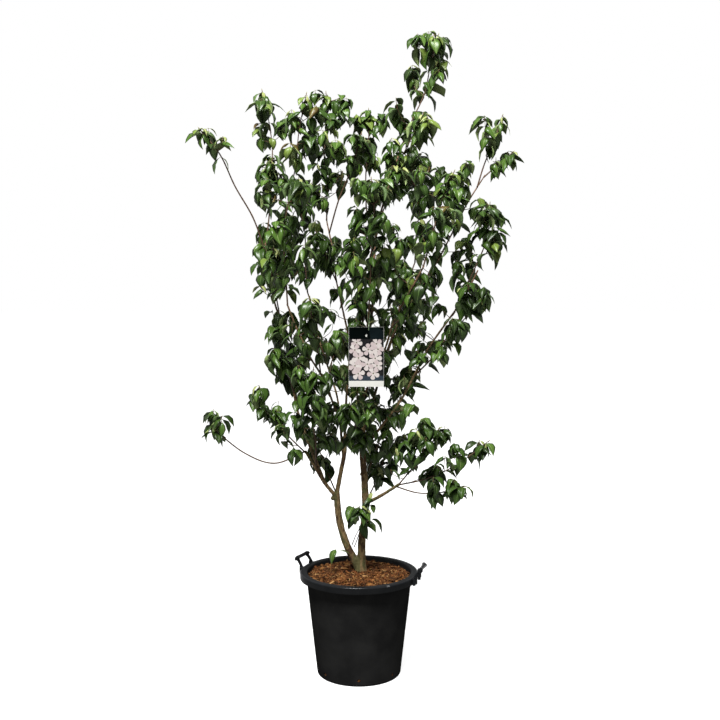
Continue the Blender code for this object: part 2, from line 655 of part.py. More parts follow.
def make_mass(plant, row, earlier, folder, cutters, green):
    """One stem with pairs of twigs in turn, each tipped with hanging leaves, fused in one body."""
    name, _parent, _share, _tip, _bow, bare, reach = row
    plant.prepare_space(name)
    mass = limb_tube(plant, name, 0, folder)
    cut_clear(plant, mass, name, earlier, cutters)
    bits = []
    tiers = max(1, round(plant.length(name) * (1.0 - bare) / TIER_SPACING))
    first_turn = random.Random(f"{SEED} {name}").uniform(0.0, math.pi)
    for tier in range(tiers):
        share = bare + (1.0 - bare) * (tier + TIER_START) / tiers
        for side in range(2):
            rng = random.Random(f"{SEED} {name} {tier} {side}")
            heading = first_turn + math.pi * (0.5 * tier + side) + rng.uniform(-TWIG_TURN, TWIG_TURN)
            lift = math.radians(rng.uniform(*TWIG_LIFT))
            length = reach * rng.uniform(*TWIG_REACH) * (REACH_AT_FOOT - REACH_LOSS * tier / tiers)
            out = Vector((math.cos(heading), math.sin(heading), 0.0))
            start = plant.at(name, share)
            end = start + out * (length * math.cos(lift)) + Vector((0.0, 0.0, length * math.sin(lift)))
            if not plant.clear([start.lerp(end, step) for step in (0.3, 0.5, 0.7, 0.85, 1.0)]):
                continue
            leaves = twig_leaves(plant, start, end, heading, rng, cutters)
            if leaves:
                plant.taken.extend(start.lerp(end, step) for step in (0.2, 0.4, 0.6, 0.8))
                bits += [make_twig(start, end, cutters)] + leaves
    bits += tip_leaves(plant, name, random.Random(f"{SEED} {name} tip"), cutters)
    boolean(mass, bits, "UNION", cutters)
    keep_largest_body(mass)
    mass.data.materials.append(green)


def card_eye(plant):
    """Centre of the card's hole, straight under the place where the loop goes over its bough."""
    hang = plant.at("bough_front", LOOP_ON_BOUGH)
    return Vector((hang.x, hang.y, CARD_LEVEL + CARD_HOLE_OFFSET[1]))


def make_card(plant, folder, cutters, paper):
    """The tag: a thin upright card with a hole near its top edge."""
    eye = card_eye(plant)
    centre = eye - Vector((CARD_HOLE_OFFSET[0], 0.0, CARD_HOLE_OFFSET[1]))
    card = box("label_card", CARD_SIZE, Matrix.Translation(centre), folder)
    bm = bmesh.new()
    bm.from_mesh(card.data)
    corners = [edge for edge in bm.edges if abs(edge.verts[0].co.y - edge.verts[1].co.y) > GAP]
    bmesh.ops.bevel(bm, geom=corners, offset=CARD_CORNER, segments=3, affect="EDGES", profile=0.5)
    bm.to_mesh(card.data)
    bm.free()
    bm = bmesh.new()
    bmesh.ops.create_cone(
        bm, segments=12, radius1=CARD_HOLE_RADIUS, radius2=CARD_HOLE_RADIUS, depth=CARD_DRILL, cap_ends=True,
        matrix=Matrix.Translation(eye) @ Matrix.Rotation(math.radians(90.0), 4, "X"),
    )
    mesh = bpy.data.meshes.new("hole")
    bm.to_mesh(mesh)
    bm.free()
    boolean(card, [add_object("hole", mesh, cutters)], "DIFFERENCE", cutters)
    card.data.materials.append(paper)
    return card


def loop_points(plant):
    """A strap over a bough, across its line, that turns a quarter to pass the card's hole."""
    top = plant.at("bough_front", LOOP_ON_BOUGH)
    slope = plant.at("bough_front", 1.0) - top
    steepness = math.atan2(slope.z, math.hypot(slope.x, slope.y))
    fit = plant.radius("bough_front", LOOP_ON_BOUGH) + GAP + LOOP_ROD
    crest = fit / math.cos(steepness)
    dip = card_eye(plant) + Vector((0.0, 0.0, CARD_HOLE_RADIUS - GAP - LOOP_ROD))
    over = [math.pi * index / 8 for index in range(9)]
    under = [math.pi * (1.0 + index / 6) for index in range(7)]
    points = [top + Vector((fit * math.cos(turn), 0.0, crest * math.sin(turn))) for turn in over]
    for turn in under:
        points.append(dip + Vector((0.0, -math.cos(turn), 1.0 + math.sin(turn))) * LOOP_EYE_RADIUS)
    return points


def make_loop(plant, folder, plastic):
    points = loop_points(plant)
    loop = tube("label_loop", points, [LOOP_ROD] * len(points), 0, folder, cyclic=True)
    loop.data.materials.append(plastic)
    shade_round(loop)
    return loop


def main():
    folder, cutters = start_scene()
    plastic = paint("black_plastic", (0.012, 0.014, 0.017), 0.45)
    mulch = paint("bark_mulch", (0.20, 0.085, 0.035), 0.95)
    make_pot(folder, cutters, plastic)
    for name, bearing in HANDLE_BEARINGS.items():
        make_handle(name, bearing, folder, cutters, plastic)
    make_soil(folder, mulch)

    plant = Plant()
    bark = paint("bark", (0.14, 0.11, 0.075), 0.85)
    make_trunk(plant, folder, cutters, bark)
    earlier = list(STEMS)
    for name, *_rest in BOUGHS:
        make_bough(plant, name, earlier, folder, cutters, bark)
        earlier.append(name)
    for row in MASSES:
        make_mass(plant, row, earlier, folder, cutters, paint(row[0], (0.035, 0.105, 0.025), 0.5))
        earlier.append(row[0])

    make_card(plant, folder, cutters, paint("tag_card", (0.75, 0.74, 0.72), 0.4))
    make_loop(plant, folder, paint("tag_loop", (0.03, 0.12, 0.04), 0.4))


main()
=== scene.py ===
"""Looks of the potted multi-stemmed dogwood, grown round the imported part.

The tables and the rule that place stems, boughs and foliage repeat the part's own source, with the
same seeds, and go on from its twigs to finer ones with leaves of their real size.
"""

import math
import random

import bmesh
import bpy
import numpy as np
from mathutils import Matrix, Vector, noise


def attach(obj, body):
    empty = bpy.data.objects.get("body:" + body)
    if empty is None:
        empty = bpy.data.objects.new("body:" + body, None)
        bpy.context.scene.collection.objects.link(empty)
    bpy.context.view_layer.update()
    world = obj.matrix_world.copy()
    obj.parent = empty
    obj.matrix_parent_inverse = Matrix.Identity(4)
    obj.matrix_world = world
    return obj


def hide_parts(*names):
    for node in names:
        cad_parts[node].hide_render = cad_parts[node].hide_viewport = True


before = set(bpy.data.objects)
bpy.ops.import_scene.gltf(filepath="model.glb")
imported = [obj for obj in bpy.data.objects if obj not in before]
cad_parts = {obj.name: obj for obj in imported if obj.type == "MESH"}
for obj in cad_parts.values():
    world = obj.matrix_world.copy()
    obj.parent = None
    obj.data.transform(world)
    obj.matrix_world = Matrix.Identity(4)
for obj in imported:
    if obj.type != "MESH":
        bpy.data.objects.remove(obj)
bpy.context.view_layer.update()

GAP = 0.0003

# Pot, as in the part
POT_HEIGHT = 0.464
RIM_RADIUS = 0.265
BODY_TOP_RADIUS = 0.236
BASE_RADIUS = 0.188
WALL = 0.004
FLOOR = 0.006
LIP_DEPTH = 0.030
LIP_WALL = 0.0035
LIP_ROUND = 0.006
DRAIN_HOLES = 7
DRAIN_RADIUS = 0.007
DRAIN_HEIGHT = 0.030
SCUFF_PLACE = (0.124, -0.232)
SCUFF_REACH = 0.009
HANDLE_BEARINGS = {"pot_handle_left": 155.0, "pot_handle_right": -15.0}
HANDLE_SPREAD = 10.0
HANDLE_REACH = 0.024
HANDLE_RISE = 0.034
HANDLE_LIFT = 0.002
# Corners of a leg's channel section, in millimetres
LEG_SECTION = ((-6.5, -7.0), (5.5, -7.0), (6.5, -6.0), (6.5, -4.5), (5.0, -3.8),
               (5.0, 3.8), (6.5, 4.5), (6.5, 6.0), (5.5, 7.0), (-6.5, 7.0))
SOIL_EDGE = 0.436
SOIL_CROWN = 0.459
SOIL_FLAT_RADIUS = 0.060

# Limbs and foliage, as in the part
STEMS = {
    "right_stem": ((0.012, 0.0, SOIL_CROWN + GAP), (0.022, 0.0, 1.150), (0.003, 0.0, 0.0), 0.0185, 0.0125),
    "left_stem": ((0.002, 0.0, 0.470), (-0.100, -0.020, 0.826), (-0.026, 0.0, 0.0), 0.0175, 0.0140),
}
FLARE_RADIUS = 0.029
FLARE_HEIGHT = 0.075

BOUGHS = [
    ("bough_left_inner", "left_stem", 0.97, (-0.064, 0.04, 1.105), (0.01, 0.008, 0.0), 0.0105, 0.0082),
    ("bough_left_outer", "left_stem", 0.93, (-0.236, -0.08, 1.021), (-0.006, 0.0, -0.004), 0.0092, 0.0066),
    ("bough_left", "bough_left_outer", 0.36, (-0.419, 0.08, 1.934), (-0.04, 0.045, 0.0), 0.0085, 0.005),
    ("bough_front_left", "bough_left_inner", 0.98, (-0.303, -0.2, 1.666), (0, -0.015, 0), 0.0072, 0.0052),
    ("bough_back_left", "bough_left_inner", 0.94, (-0.15, 0.2, 2.05), (0.04, 0.03, 0.0), 0.0074, 0.0046),
    ("bough_centre", "right_stem", 0.98, (0.184, 0.0, 2.347), (-0.05, 0.0, 0.0), 0.0105, 0.0048),
    ("bough_right", "right_stem", 0.93, (0.564, 0.1, 2.237), (-0.05, 0.055, 0.0), 0.0085, 0.0042),
    ("bough_right_side", "right_stem", 0.8, (0.501, -0.2, 1.809), (0.02, -0.015, 0.0), 0.008, 0.005),
    ("bough_low_right", "right_stem", 0.45, (0.175, -0.115, 0.88), (0.0, 0.0, -0.004), 0.0085, 0.0062),
    ("bough_back_centre", "bough_centre", 0.5, (0.033, 0.3, 2.11), (0.01, -0.02, 0.0), 0.0062, 0.0046),
    ("bough_front_right", "bough_centre", 0.09, (0.267, -0.3, 1.824), (-0.01, 0.0, 0.0), 0.007, 0.005),
    ("bough_front", "bough_centre", 0.27, (0.042, -0.255, 1.64), (0.0, 0.0, -0.02), 0.0064, 0.005),
    ("bough_back_right", "bough_right", 0.22, (0.27, 0.4, 1.86), (0.0, 0.04, 0.0), 0.0066, 0.0048),
    ("bough_back", "bough_left_inner", 0.55, (-0.25, 0.4, 1.72), (0.02, 0.06, 0.0), 0.0072, 0.0048),
]

MASSES = [
    ("leaves_low_left_whip", "bough_left_outer", 0.99, (-0.625, -0.2, 1.14), (0.0, 0.0, -0.09), 0.93, 0.025),
    ("leaves_low_left_spray", "bough_left_outer", 0.93, (-0.47, 0.01, 1.27), (0.0, 0.0, -0.01), 0.45, 0.06),
    ("leaves_low_left_front", "bough_left_outer", 0.66, (-0.19, -0.25, 1.4), (0.0, -0.01, 0.0), 0.2, 0.09),
    ("leaves_left_side_low", "bough_left", 0.36, (-0.353, 0.0, 1.64), (-0.02, 0.0, 0.0), 0.25, 0.08),
    ("leaves_left_back_low", "bough_left", 0.3, (-0.33, 0.33, 1.44), (0.0, 0.02, 0.0), 0.3, 0.1),
    ("leaves_left_side_mid", "bough_left", 0.66, (-0.37, -0.06, 1.91), (-0.015, 0.0, 0.0), 0.2, 0.08),
    ("leaves_left_back_mid", "bough_left", 0.76, (-0.4, 0.31, 2.02), (0.0, 0.02, 0.0), 0.25, 0.075),
    ("leaves_left_top", "bough_left", 0.99, (-0.431, 0.1, 2.61), (0.035, 0.0, 0.0), 0.2, 0.062),
    ("leaves_far_left_whip", "bough_left", 0.95, (-0.69, -0.05, 2.42), (0.02, -0.02, 0.03), 0.7, 0.04),
    ("leaves_front_left_low", "bough_front_left", 0.45,
     (-0.201, -0.31, 1.697), (0.0, -0.02, 0.0), 0.25, 0.08),
    ("leaves_front_left_top", "bough_front_left", 0.99,
     (-0.215, -0.25, 2.53), (-0.035, 0.0, 0.0), 0.06, 0.09),
    ("leaves_back_left_mid", "bough_back_left", 0.7, (-0.192, 0.08, 1.987), (0.0, 0.0, 0.0), 0.25, 0.08),
    ("leaves_back_left_top", "bough_back_left", 0.99, (-0.15, 0.2, 2.62), (0.0, 0.0, 0.0), 0.08, 0.1),
    ("leaves_centre_whip", "bough_back_left", 0.93, (0.012, 0.08, 2.42), (0.0, -0.02, 0.0), 0.6, 0.075),
    ("leaves_back_top", "bough_back", 0.99, (-0.29, 0.44, 2.26), (0.0, 0.01, 0.0), 0.08, 0.11),
    ("leaves_back_low", "bough_back", 0.5, (-0.09, 0.42, 1.5), (0.0, 0.02, 0.0), 0.25, 0.11),
    ("leaves_low_centre", "right_stem", 0.8, (-0.04, -0.21, 1.25), (0.0, -0.02, 0.0), 0.12, 0.08),
    ("leaves_low_back", "right_stem", 0.45, (0.165, 0.15, 1.04), (0.0, 0.02, 0.0), 0.3, 0.09),
    ("leaves_left_knee", "left_stem", 0.97, (-0.242, 0.2, 1.101), (0.0, 0.02, 0.0), 0.35, 0.09),
    ("leaves_centre_mid", "bough_centre", 0.3, (-0.03, -0.08, 1.96), (-0.01, -0.02, 0.0), 0.15, 0.08),
    ("leaves_front_top", "bough_front", 0.99, (0.05, -0.32, 2.18), (0.01, -0.02, 0.0), 0.15, 0.1),
    ("leaves_centre_upper", "bough_centre", 0.74, (0.276, -0.11, 2.475), (-0.01, 0.0, 0.0), 0.2, 0.09),
    ("leaves_back_centre_top", "bough_back_centre", 0.99, (0.045, 0.35, 2.57), (0.0, 0.0, 0.0), 0.08, 0.11),
    ("leaves_crown_top", "bough_centre", 0.99, (0.345, 0.0, 2.828), (0.015, 0.0, 0.0), 0.08, 0.09),
    ("leaves_front_right_top", "bough_front_right", 0.99,
     (0.39, -0.3, 2.21), (-0.01, -0.01, 0.0), 0.08, 0.1),
    ("leaves_front_right_low", "bough_front_right", 0.55,
     (0.308, -0.14, 1.793), (0.01, 0.0, 0.0), 0.15, 0.09),
    ("leaves_right_mid", "bough_right", 0.6, (0.455, 0.0, 2.255), (0.01, 0.0, 0.0), 0.3, 0.08),
    ("leaves_right_inner", "bough_right", 0.76, (0.169, 0.09, 2.346), (-0.01, 0.0, 0.0), 0.3, 0.085),
    ("leaves_far_right_tip", "bough_right", 0.99, (0.69, 0.1, 2.34), (0.0, 0.0, 0.0), 0.25, 0.06),
    ("leaves_far_right_up", "bough_right", 0.95, (0.64, 0.1, 2.5), (0.0, 0.0, 0.0), 0.35, 0.06),
    ("leaves_right_side_top", "bough_right_side", 0.8, (0.55, -0.19, 2.09), (0.03, 0.0, 0.0), 0.08, 0.085),
    ("leaves_right_side_low", "bough_right_side", 0.42,
     (0.513, -0.28, 1.713), (0.01, -0.03, 0.0), 0.14, 0.08),
    ("leaves_right_side_back", "right_stem", 0.6, (0.238, 0.05, 1.384), (0.0, 0.02, 0.0), 0.12, 0.095),
    ("leaves_low_right_up", "bough_low_right", 0.99, (0.345, -0.14, 1.13), (0.01, 0.0, -0.01), 0.04, 0.1),
    ("leaves_low_right_spray", "bough_low_right", 0.96,
     (0.554, -0.2, 1.084), (0.0, 0.0, -0.04), 0.06, 0.085),
    ("leaves_stem_sprig", "right_stem", 0.3, (0.0, -0.11, 0.785), (0.0, 0.0, 0.0), 0.3, 0.04),
    ("leaves_low_right_whip", "bough_low_right", 0.9, (0.45, -0.26, 0.9), (0.0, 0.0, -0.03), 0.5, 0.05),
    ("leaves_back_right_top", "bough_back_right", 0.99, (0.31, 0.43, 2.35), (0.0, 0.0, 0.0), 0.08, 0.11),
    ("leaves_back_right_low", "bough_back_right", 0.5, (0.383, 0.3, 1.463), (0.0, 0.0, 0.0), 0.25, 0.1),
]

# Single leaves and thin shoots low on the stems: stalk points, heading, droop, bend, length, width, tone
SPROUTS = [
    ([(-0.0493, -0.006, 0.5480), (-0.0782, -0.020, 0.5677), (-0.1048, -0.030, 0.5690)],
     236.0, 8.0, 84.0, 0.082, 0.80, "mid"),
    ([(-0.0335, -0.012, 0.5382), (-0.0446, -0.026, 0.5484)],
     214.0, -36.0, 20.0, 0.055, 0.62, "bright"),
    ([(0.0203, -0.012, 0.6885), (0.0193, -0.027, 0.6853)],
     -95.0, 50.0, 42.0, 0.076, 0.90, "dark"),
    ([(0.0382, -0.004, 0.6820), (0.0449, -0.014, 0.6994)],
     -52.0, -4.0, 90.0, 0.076, 0.95, "mid"),
    ([(0.0383, 0.000, 0.6902), (0.0540, 0.004, 0.6974)],
     -28.0, -2.0, 88.0, 0.088, 0.62, "deep"),
    ([(0.0315, 0.000, 0.7311), (0.0494, 0.000, 0.7607), (0.0575, 0.000, 0.7652)],
     -70.0, 30.0, 52.0, 0.046, 1.00, "mid"),
    ([(-0.0715, -0.010, 0.7289), (-0.0579, -0.020, 0.7538), (-0.0431, -0.025, 0.7662)],
     -75.0, 25.0, 62.0, 0.070, 1.00, "mid"),
    ([(-0.0314, 0.000, 0.5807), (-0.0134, 0.004, 0.6254), (0.0068, 0.006, 0.6614)],
     0.0, 0.0, 0.0, 0.000, 0.00, "mid"),
    ([(-0.0224, 0.000, 0.5693), (-0.0089, 0.006, 0.6020), (0.0023, 0.010, 0.6376)],
     0.0, 0.0, 0.0, 0.000, 0.00, "mid"),
]

# Shoots in the bare places low in the crown: limb, share of its length, heading, length, lift, rise
LOW_SHOOTS = [
    ("bough_left_outer", 0.97, 200.0, 0.07, 5.0, 0.01),
    ("leaves_low_left_whip", 0.06, 240.0, 0.05, 20.0, 0.02),
    ("leaves_low_left_spray", 0.16, 180.0, 0.06, 10.0, 0.02),
    ("leaves_low_left_spray", 0.34, 255.0, 0.07, 25.0, 0.03),
    ("bough_low_right", 0.88, -50.0, 0.06, -20.0, 0.0),
    ("bough_low_right", 0.99, -80.0, 0.05, -30.0, 0.0),
    ("leaves_low_right_whip", 0.30, 70.0, 0.05, 40.0, 0.02),
    ("leaves_low_right_whip", 0.80, 60.0, 0.05, 60.0, 0.03),
]

# Growth rule, as in the part
SEED = 3
KNOT_SPACING = 0.14
WANDER = 0.012
STEM_FOOT_RADIUS = 0.0042
STEM_TIP_RADIUS = 0.0026
TIER_SPACING = 0.155
TWIG_LIFT = (20.0, 45.0)
SPACE_MARGIN = 0.006
LIMB_MARGIN = 0.004

# Finer growth
BOUGH_SHOOTS = (0.095, 0.150)
BARE_BELOW = 0.96
SHOOTS_BETWEEN = 0.38
SLIM_FROM = (0.95, 1.15)
SLIM = 0.78
SHOOT_STEP = 0.012
STEM_THICK = 0.0036
STEM_THIN = 0.0018
WHIP_THIN = 0.0028
LEAF_LENGTH = (0.064, 0.094)
LEAF_HALF_WIDTH = 0.310
YOUNG_WIDTH = 0.62
LEAF_TRIES = 5
LEAF_MARGIN = 0.005
LEAF_ROWS = (0.0, 0.08, 0.20, 0.34, 0.50, 0.66, 0.81, 0.92, 1.0)
LEAF_WIDTHS = (0.0, 0.50, 0.88, 1.0, 0.92, 0.68, 0.36, 0.14, 0.0)
LEAF_COLUMNS = (-1.0, -0.5, -0.05, 0.05, 0.5, 1.0)

# Mulch
MULCH_CHIPS = 5200
BOX_CORNERS = np.array([(x, y, z) for z in (-0.5, 0.5) for y in (-0.5, 0.5) for x in (-0.5, 0.5)])
BOX_FACES = [(0, 2, 3, 1), (4, 5, 7, 6), (0, 1, 5, 4), (2, 6, 7, 3), (1, 3, 7, 5), (0, 4, 6, 2)]
# Centre of the shallow hollow beside the stems, where the chips take a near-black paint as painted shade
SHADED_HOLLOW_PLACE = (-0.056, -0.004)

# Bark
BARK_VOXEL = 0.0023
KNOBS = (((0.030, -0.006, 0.742), 0.011), ((-0.115, -0.024, 0.800), 0.012), ((0.013, -0.010, 0.905), 0.010))

# Picture tag
CARD_SIZE = (0.147, 0.0012, 0.251)
CARD_LEVEL = 1.4455
CARD_HOLE_RADIUS = 0.0040
CARD_HOLE_OFFSET = (0.010, 0.108)
LOOP_ROD = 0.0009
LOOP_EYE_RADIUS = 0.0030
LOOP_ON_BOUGH = 0.95

ROUGHNESS_SWING = 0.08

# View and light
CAMERA_PLACE = (0.0046, -4.452, 1.747)
CAMERA_PITCH = 4.27
CAMERA_LENS = 50.35
SENSOR_WIDTH = 36.0
LIGHTS = (("key", (-0.8, -3.0, 6.2), 1.9, 3900.0), ("fill", (3.4, -3.0, 3.0), 2.4, 110.0))
LIGHT_AIM = (0.0, 0.0, 1.3)
FLOOR_GREY = (0.22, 0.22, 0.22)
FLOOR_GLOW = 0.80

# Paints: name, colour, variant, roughness, scale of the drift, specular, bump depth and scale, specks
LEAF_FINISH = (0.31, 25.0, 0.055, 0.0005, 240.0)
CHIP_FINISH = (0.85, 120.0, 0.045, 0.0008, 500.0)
DUST = ((0.012, 0.011, 0.009), 330.0, 0.72)
BARK_PAINTS = [
    ("bark_olive", (0.023, 0.0154, 0.0063), (0.0435, 0.0295, 0.01334), 0.8, 70.0, 0.06, 0.001, 380.0),
    ("bark_mossy", (0.0125, 0.0113, 0.004), (0.025, 0.0225, 0.0095), 0.9, 90.0, 0.04, 0.0012, 420.0),
    ("bark_young", (0.02366, 0.01232, 0.00644), (0.04075, 0.02304, 0.01242),
     0.65, 80.0, 0.08, 0.0005, 520.0),
    ("bark_shade", (0.01117, 0.00643, 0.00322), (0.0184, 0.01072, 0.00506), 0.85, 90.0, 0.04, 0.001, 420.0),
]
SHOOT_PAINTS = [
    ("shoot_brown", (0.01159, 0.00593, 0.00302), (0.01876, 0.01061, 0.00529),
     0.6, 80.0, 0.08, 0.0002, 700.0),
    ("shoot_red_brown", (0.01637, 0.00655, 0.00328), (0.01364, 0.01061, 0.00353),
     0.55, 60.0, 0.08, 0.0001, 900.0),
    ("leaf_stalk", (0.033, 0.04056, 0.01008), (0.04675, 0.03744, 0.01176), 0.5, 40.0, 0.08, 0.0001, 900.0),
]
LEAF_PAINTS = [
    ("leaf_deep_green", (0.00249, 0.00525, 0.00089), (0.00362, 0.00727, 0.00124), *LEAF_FINISH),
    ("leaf_dark_green", (0.00485, 0.01068, 0.00148), (0.00645, 0.01356, 0.00193), *LEAF_FINISH),
    ("leaf_mid_green", (0.00853, 0.01768, 0.00242), (0.01107, 0.0218, 0.00317), *LEAF_FINISH),
    ("leaf_bright_green", (0.01939, 0.02939, 0.00481), (0.02423, 0.03458, 0.00614), *LEAF_FINISH),
    ("leaf_young_green", (0.04415, 0.05176, 0.01642), (0.05646, 0.06118, 0.02134),
     0.36, 25.0, 0.05, 0.0003, 240.0),
    ("leaf_bronze", (0.0128, 0.00978, 0.0024), (0.0176, 0.01166, 0.00312), 0.34, 25.0, 0.05, 0.0005, 240.0),
    ("midrib_dark", (0.01238, 0.0221, 0.00571), (0.0168, 0.02635, 0.00714), 0.45, 60.0, 0.0525),
    ("midrib_pale", (0.03089, 0.04275, 0.01285), (0.03838, 0.0495, 0.01588), 0.45, 60.0, 0.0525),
    ("midrib_young", (0.06178, 0.07405, 0.03366), (0.07128, 0.08078, 0.03815), 0.5, 60.0, 0.0525),
    ("underside_dark", (0.01321, 0.02248, 0.00698), (0.01678, 0.02688, 0.00862),
     0.6, 30.0, 0.0525, 0.0004, 260.0),
    ("underside_pale", (0.03349, 0.04715, 0.01642), (0.04306, 0.05635, 0.02029),
     0.6, 30.0, 0.0525, 0.0004, 260.0),
    ("underside_young", (0.05465, 0.06334, 0.02909), (0.06458, 0.07273, 0.03284),
     0.6, 30.0, 0.0525, 0.0003, 260.0),
]
PLASTIC_PAINTS = [
    ("black_plastic", (0.0024, 0.0024, 0.0024), (0.0038, 0.0038, 0.0037),
     0.6, 9.0, 0.0, 0.0003, 420.0, DUST),
    ("black_plastic_lip", (0.0014, 0.0015, 0.0016), (0.0022, 0.0023, 0.0024),
     0.35, 12.0, 0.006, 0.0001, 420.0),
    ("black_plastic_edge", (0.0014, 0.0016, 0.0018), (0.0022, 0.0025, 0.0029),
     0.25, 12.0, 0.035, 0.0001, 420.0),
    ("black_plastic_scuff", (0.03, 0.031, 0.032), (0.006, 0.006, 0.006), 0.45, 160.0, 0.03),
    ("black_plastic_handle", (0.0013, 0.0014, 0.0015), (0.002, 0.0022, 0.0024),
     0.3, 30.0, 0.022, 0.0001, 420.0),
]
MULCH_PAINTS = [
    ("chip_orange", (0.02909, 0.00969, 0.00206), (0.02204, 0.00722, 0.00161), *CHIP_FINISH),
    ("chip_brown", (0.01675, 0.00589, 0.00146), (0.0119, 0.00437, 0.00115),
     0.9, 120.0, 0.045, 0.0008, 500.0),
    ("chip_dark", (0.0087, 0.0036, 0.00116), (0.0058, 0.0025, 0.00102), 0.92, 120.0, 0.03, 0.0008, 500.0),
    ("chip_tan", (0.04496, 0.01938, 0.00503), (0.03615, 0.01482, 0.0039), *CHIP_FINISH),
    ("chip_pale", (0.06612, 0.03724, 0.01359), (0.0551, 0.02888, 0.01006), *CHIP_FINISH),
    # Near-black chips for the hollow beside the stems: painted shade
    ("chip_hollow", (0.00348, 0.0018, 0.00082), (0.00232, 0.001, 0.00051), 0.95, 120.0, 0.03, 0.0008, 500.0),
    ("mulch_bed", (0.01045, 0.00384, 0.00143), (0.0187, 0.00672, 0.00204), 0.95, 160.0, 0.03, 0.003, 260.0),
]
TAG_PAINTS = [
    ("tag_white", (0.10212, 0.10212, 0.09498), (0.1104, 0.1104, 0.10138), 0.35, 20.0, 0.03),
    ("tag_header", (8e-05, 0.00026, 0.00022), (0.00013, 0.00035, 0.00031), 0.32, 20.0, 0.01),
    ("tag_backdrop", (0.00168, 0.00163, 0.0018), (0.0036, 0.00354, 0.0036), 0.35, 120.0, 0.01),
    ("tag_band", (0.00336, 0.00517, 0.00768), (0.00672, 0.00898, 0.01104), 0.35, 160.0, 0.02),
    ("tag_petal_pink", (0.079, 0.0655, 0.064), (0.088, 0.0755, 0.0735), 0.35, 90.0, 0.03),
    ("tag_petal_white", (0.091, 0.082, 0.0775), (0.1, 0.092, 0.087), 0.35, 90.0, 0.03),
    ("tag_centre", (0.0108, 0.012, 0.00522), (0.0162, 0.0174, 0.00754), 0.35, 160.0, 0.04),
    # Painted sheen: a lighter ink standing for a reflection on the header's upper right
    ("tag_sheen", (0.00043, 0.00098, 0.00121), (0.00072, 0.00148, 0.00176), 0.32, 20.0, 0.02),
    ("strap_green", (0.051, 0.084, 0.0341), (0.063, 0.096, 0.04125), 0.4, 60.0, 0.5),
]


def material(name, colour, variant, roughness, scale, specular, bump=0.0, bump_scale=0.0, specks=None):
    """A Principled material whose colour drifts to a variant, with noise in its gloss and relief."""
    made = bpy.data.materials.new(name)
    made.use_nodes = True
    nodes = made.node_tree.nodes
    links = made.node_tree.links
    shader = nodes["Principled BSDF"]
    shader.inputs["Base Color"].default_value = (*colour, 1.0)
    shader.inputs["Metallic"].default_value = 0.0
    shader.inputs["Specular IOR Level"].default_value = specular
    place = nodes.new("ShaderNodeTexCoord").outputs["Object"]

    def cloud(size, detail):
        texture = nodes.new("ShaderNodeTexNoise")
        texture.inputs["Scale"].default_value = size
        texture.inputs["Detail"].default_value = detail
        links.new(place, texture.inputs["Vector"])
        return texture.outputs["Fac"]

    def ramp(value, stops):
        made_ramp = nodes.new("ShaderNodeValToRGB")
        for element, (position, tint) in zip(made_ramp.color_ramp.elements, stops):
            element.position = position
            element.color = (*tint, 1.0)
        links.new(value, made_ramp.inputs["Fac"])
        return made_ramp.outputs["Color"]

    drift = cloud(scale, 4.0)
    tint = ramp(drift, ((0.35, colour), (0.65, variant)))
    if specks:
        speck_colour, speck_scale, start = specks
        mix = nodes.new("ShaderNodeMix")
        mix.data_type = "RGBA"
        spread = ramp(cloud(speck_scale, 2.0), ((start, (0, 0, 0)), (start + 0.04, (1, 1, 1))))
        links.new(spread, mix.inputs["Factor"])
        links.new(tint, mix.inputs["A"])
        mix.inputs["B"].default_value = (*speck_colour, 1.0)
        tint = mix.outputs["Result"]
    links.new(tint, shader.inputs["Base Color"])
    gloss = nodes.new("ShaderNodeMapRange")
    gloss.inputs["To Min"].default_value = roughness - ROUGHNESS_SWING
    gloss.inputs["To Max"].default_value = roughness + ROUGHNESS_SWING
    links.new(drift, gloss.inputs["Value"])
    links.new(gloss.outputs["Result"], shader.inputs["Roughness"])
    if bump:
        relief = nodes.new("ShaderNodeBump")
        relief.inputs["Strength"].default_value = 1.0
        relief.inputs["Distance"].default_value = bump
        links.new(cloud(bump_scale, 5.0), relief.inputs["Height"])
        links.new(relief.outputs["Normal"], shader.inputs["Normal"])
    return made


def painted(rows):
    return [material(*row) for row in rows]


class Pile:
    """Many small shapes joined into one mesh."""

    def __init__(self):
        self.verts = []
        self.faces = []
        self.tints = []
        self.size = 0

    def add(self, verts, faces, tints):
        """Adds a shape; tints is the material number of each face, or one for them all."""
        if isinstance(tints, int):
            tints = [tints] * len(faces)
        base = self.size
        self.verts.append(np.asarray(verts, float))
        self.faces.extend(tuple(base + corner for corner in face) for face in faces)
        self.tints.extend(tints)
        self.size += len(verts)

    def build(self, name, materials, slot, nodes=(), smooth=True, sharp=None):
        """The joined mesh as a piece that rides with the plant and stands for the nodes."""
        mesh = bpy.data.meshes.new(name)
        mesh.from_pydata(np.concatenate(self.verts).tolist(), [], self.faces)
        mesh.polygons.foreach_set("material_index", self.tints)
        for one in materials:
            mesh.materials.append(one)
        if smooth:
            mesh.shade_smooth()
        if sharp:
            mesh.set_sharp_from_angle(angle=math.radians(sharp))
        return dress(bpy.data.objects.new(name, mesh), nodes)


def dress(piece, nodes=()):
    if not piece.users_collection:
        bpy.context.scene.collection.objects.link(piece)
    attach(piece, "root")
    if nodes:
        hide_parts(*nodes)
    return piece


def side_directions(points):
    """Two directions across a line at each of its points, turned as little as may be."""
    run = np.gradient(points, axis=0)
    run /= np.linalg.norm(run, axis=1)[:, None]
    side = np.cross(run[0], (0.0, 1.0, 0.0) if abs(run[0][1]) < 0.9 else (1.0, 0.0, 0.0))
    sides = []
    for direction in run:
        side = side - direction * (side @ direction)
        side = side / np.linalg.norm(side)
        sides.append(side)
    sides = np.array(sides)
    return sides, np.cross(run, sides)


def tube_faces(count, sides):
    """Faces of a closed tube through a count of rings."""
    faces = [tuple(reversed(range(sides))), tuple((count - 1) * sides + side for side in range(sides))]
    for ring in range(count - 1):
        low = ring * sides
        for side in range(sides):
            after = (side + 1) % sides
            faces.append((low + side, low + after, low + sides + after, low + sides + side))
    return faces


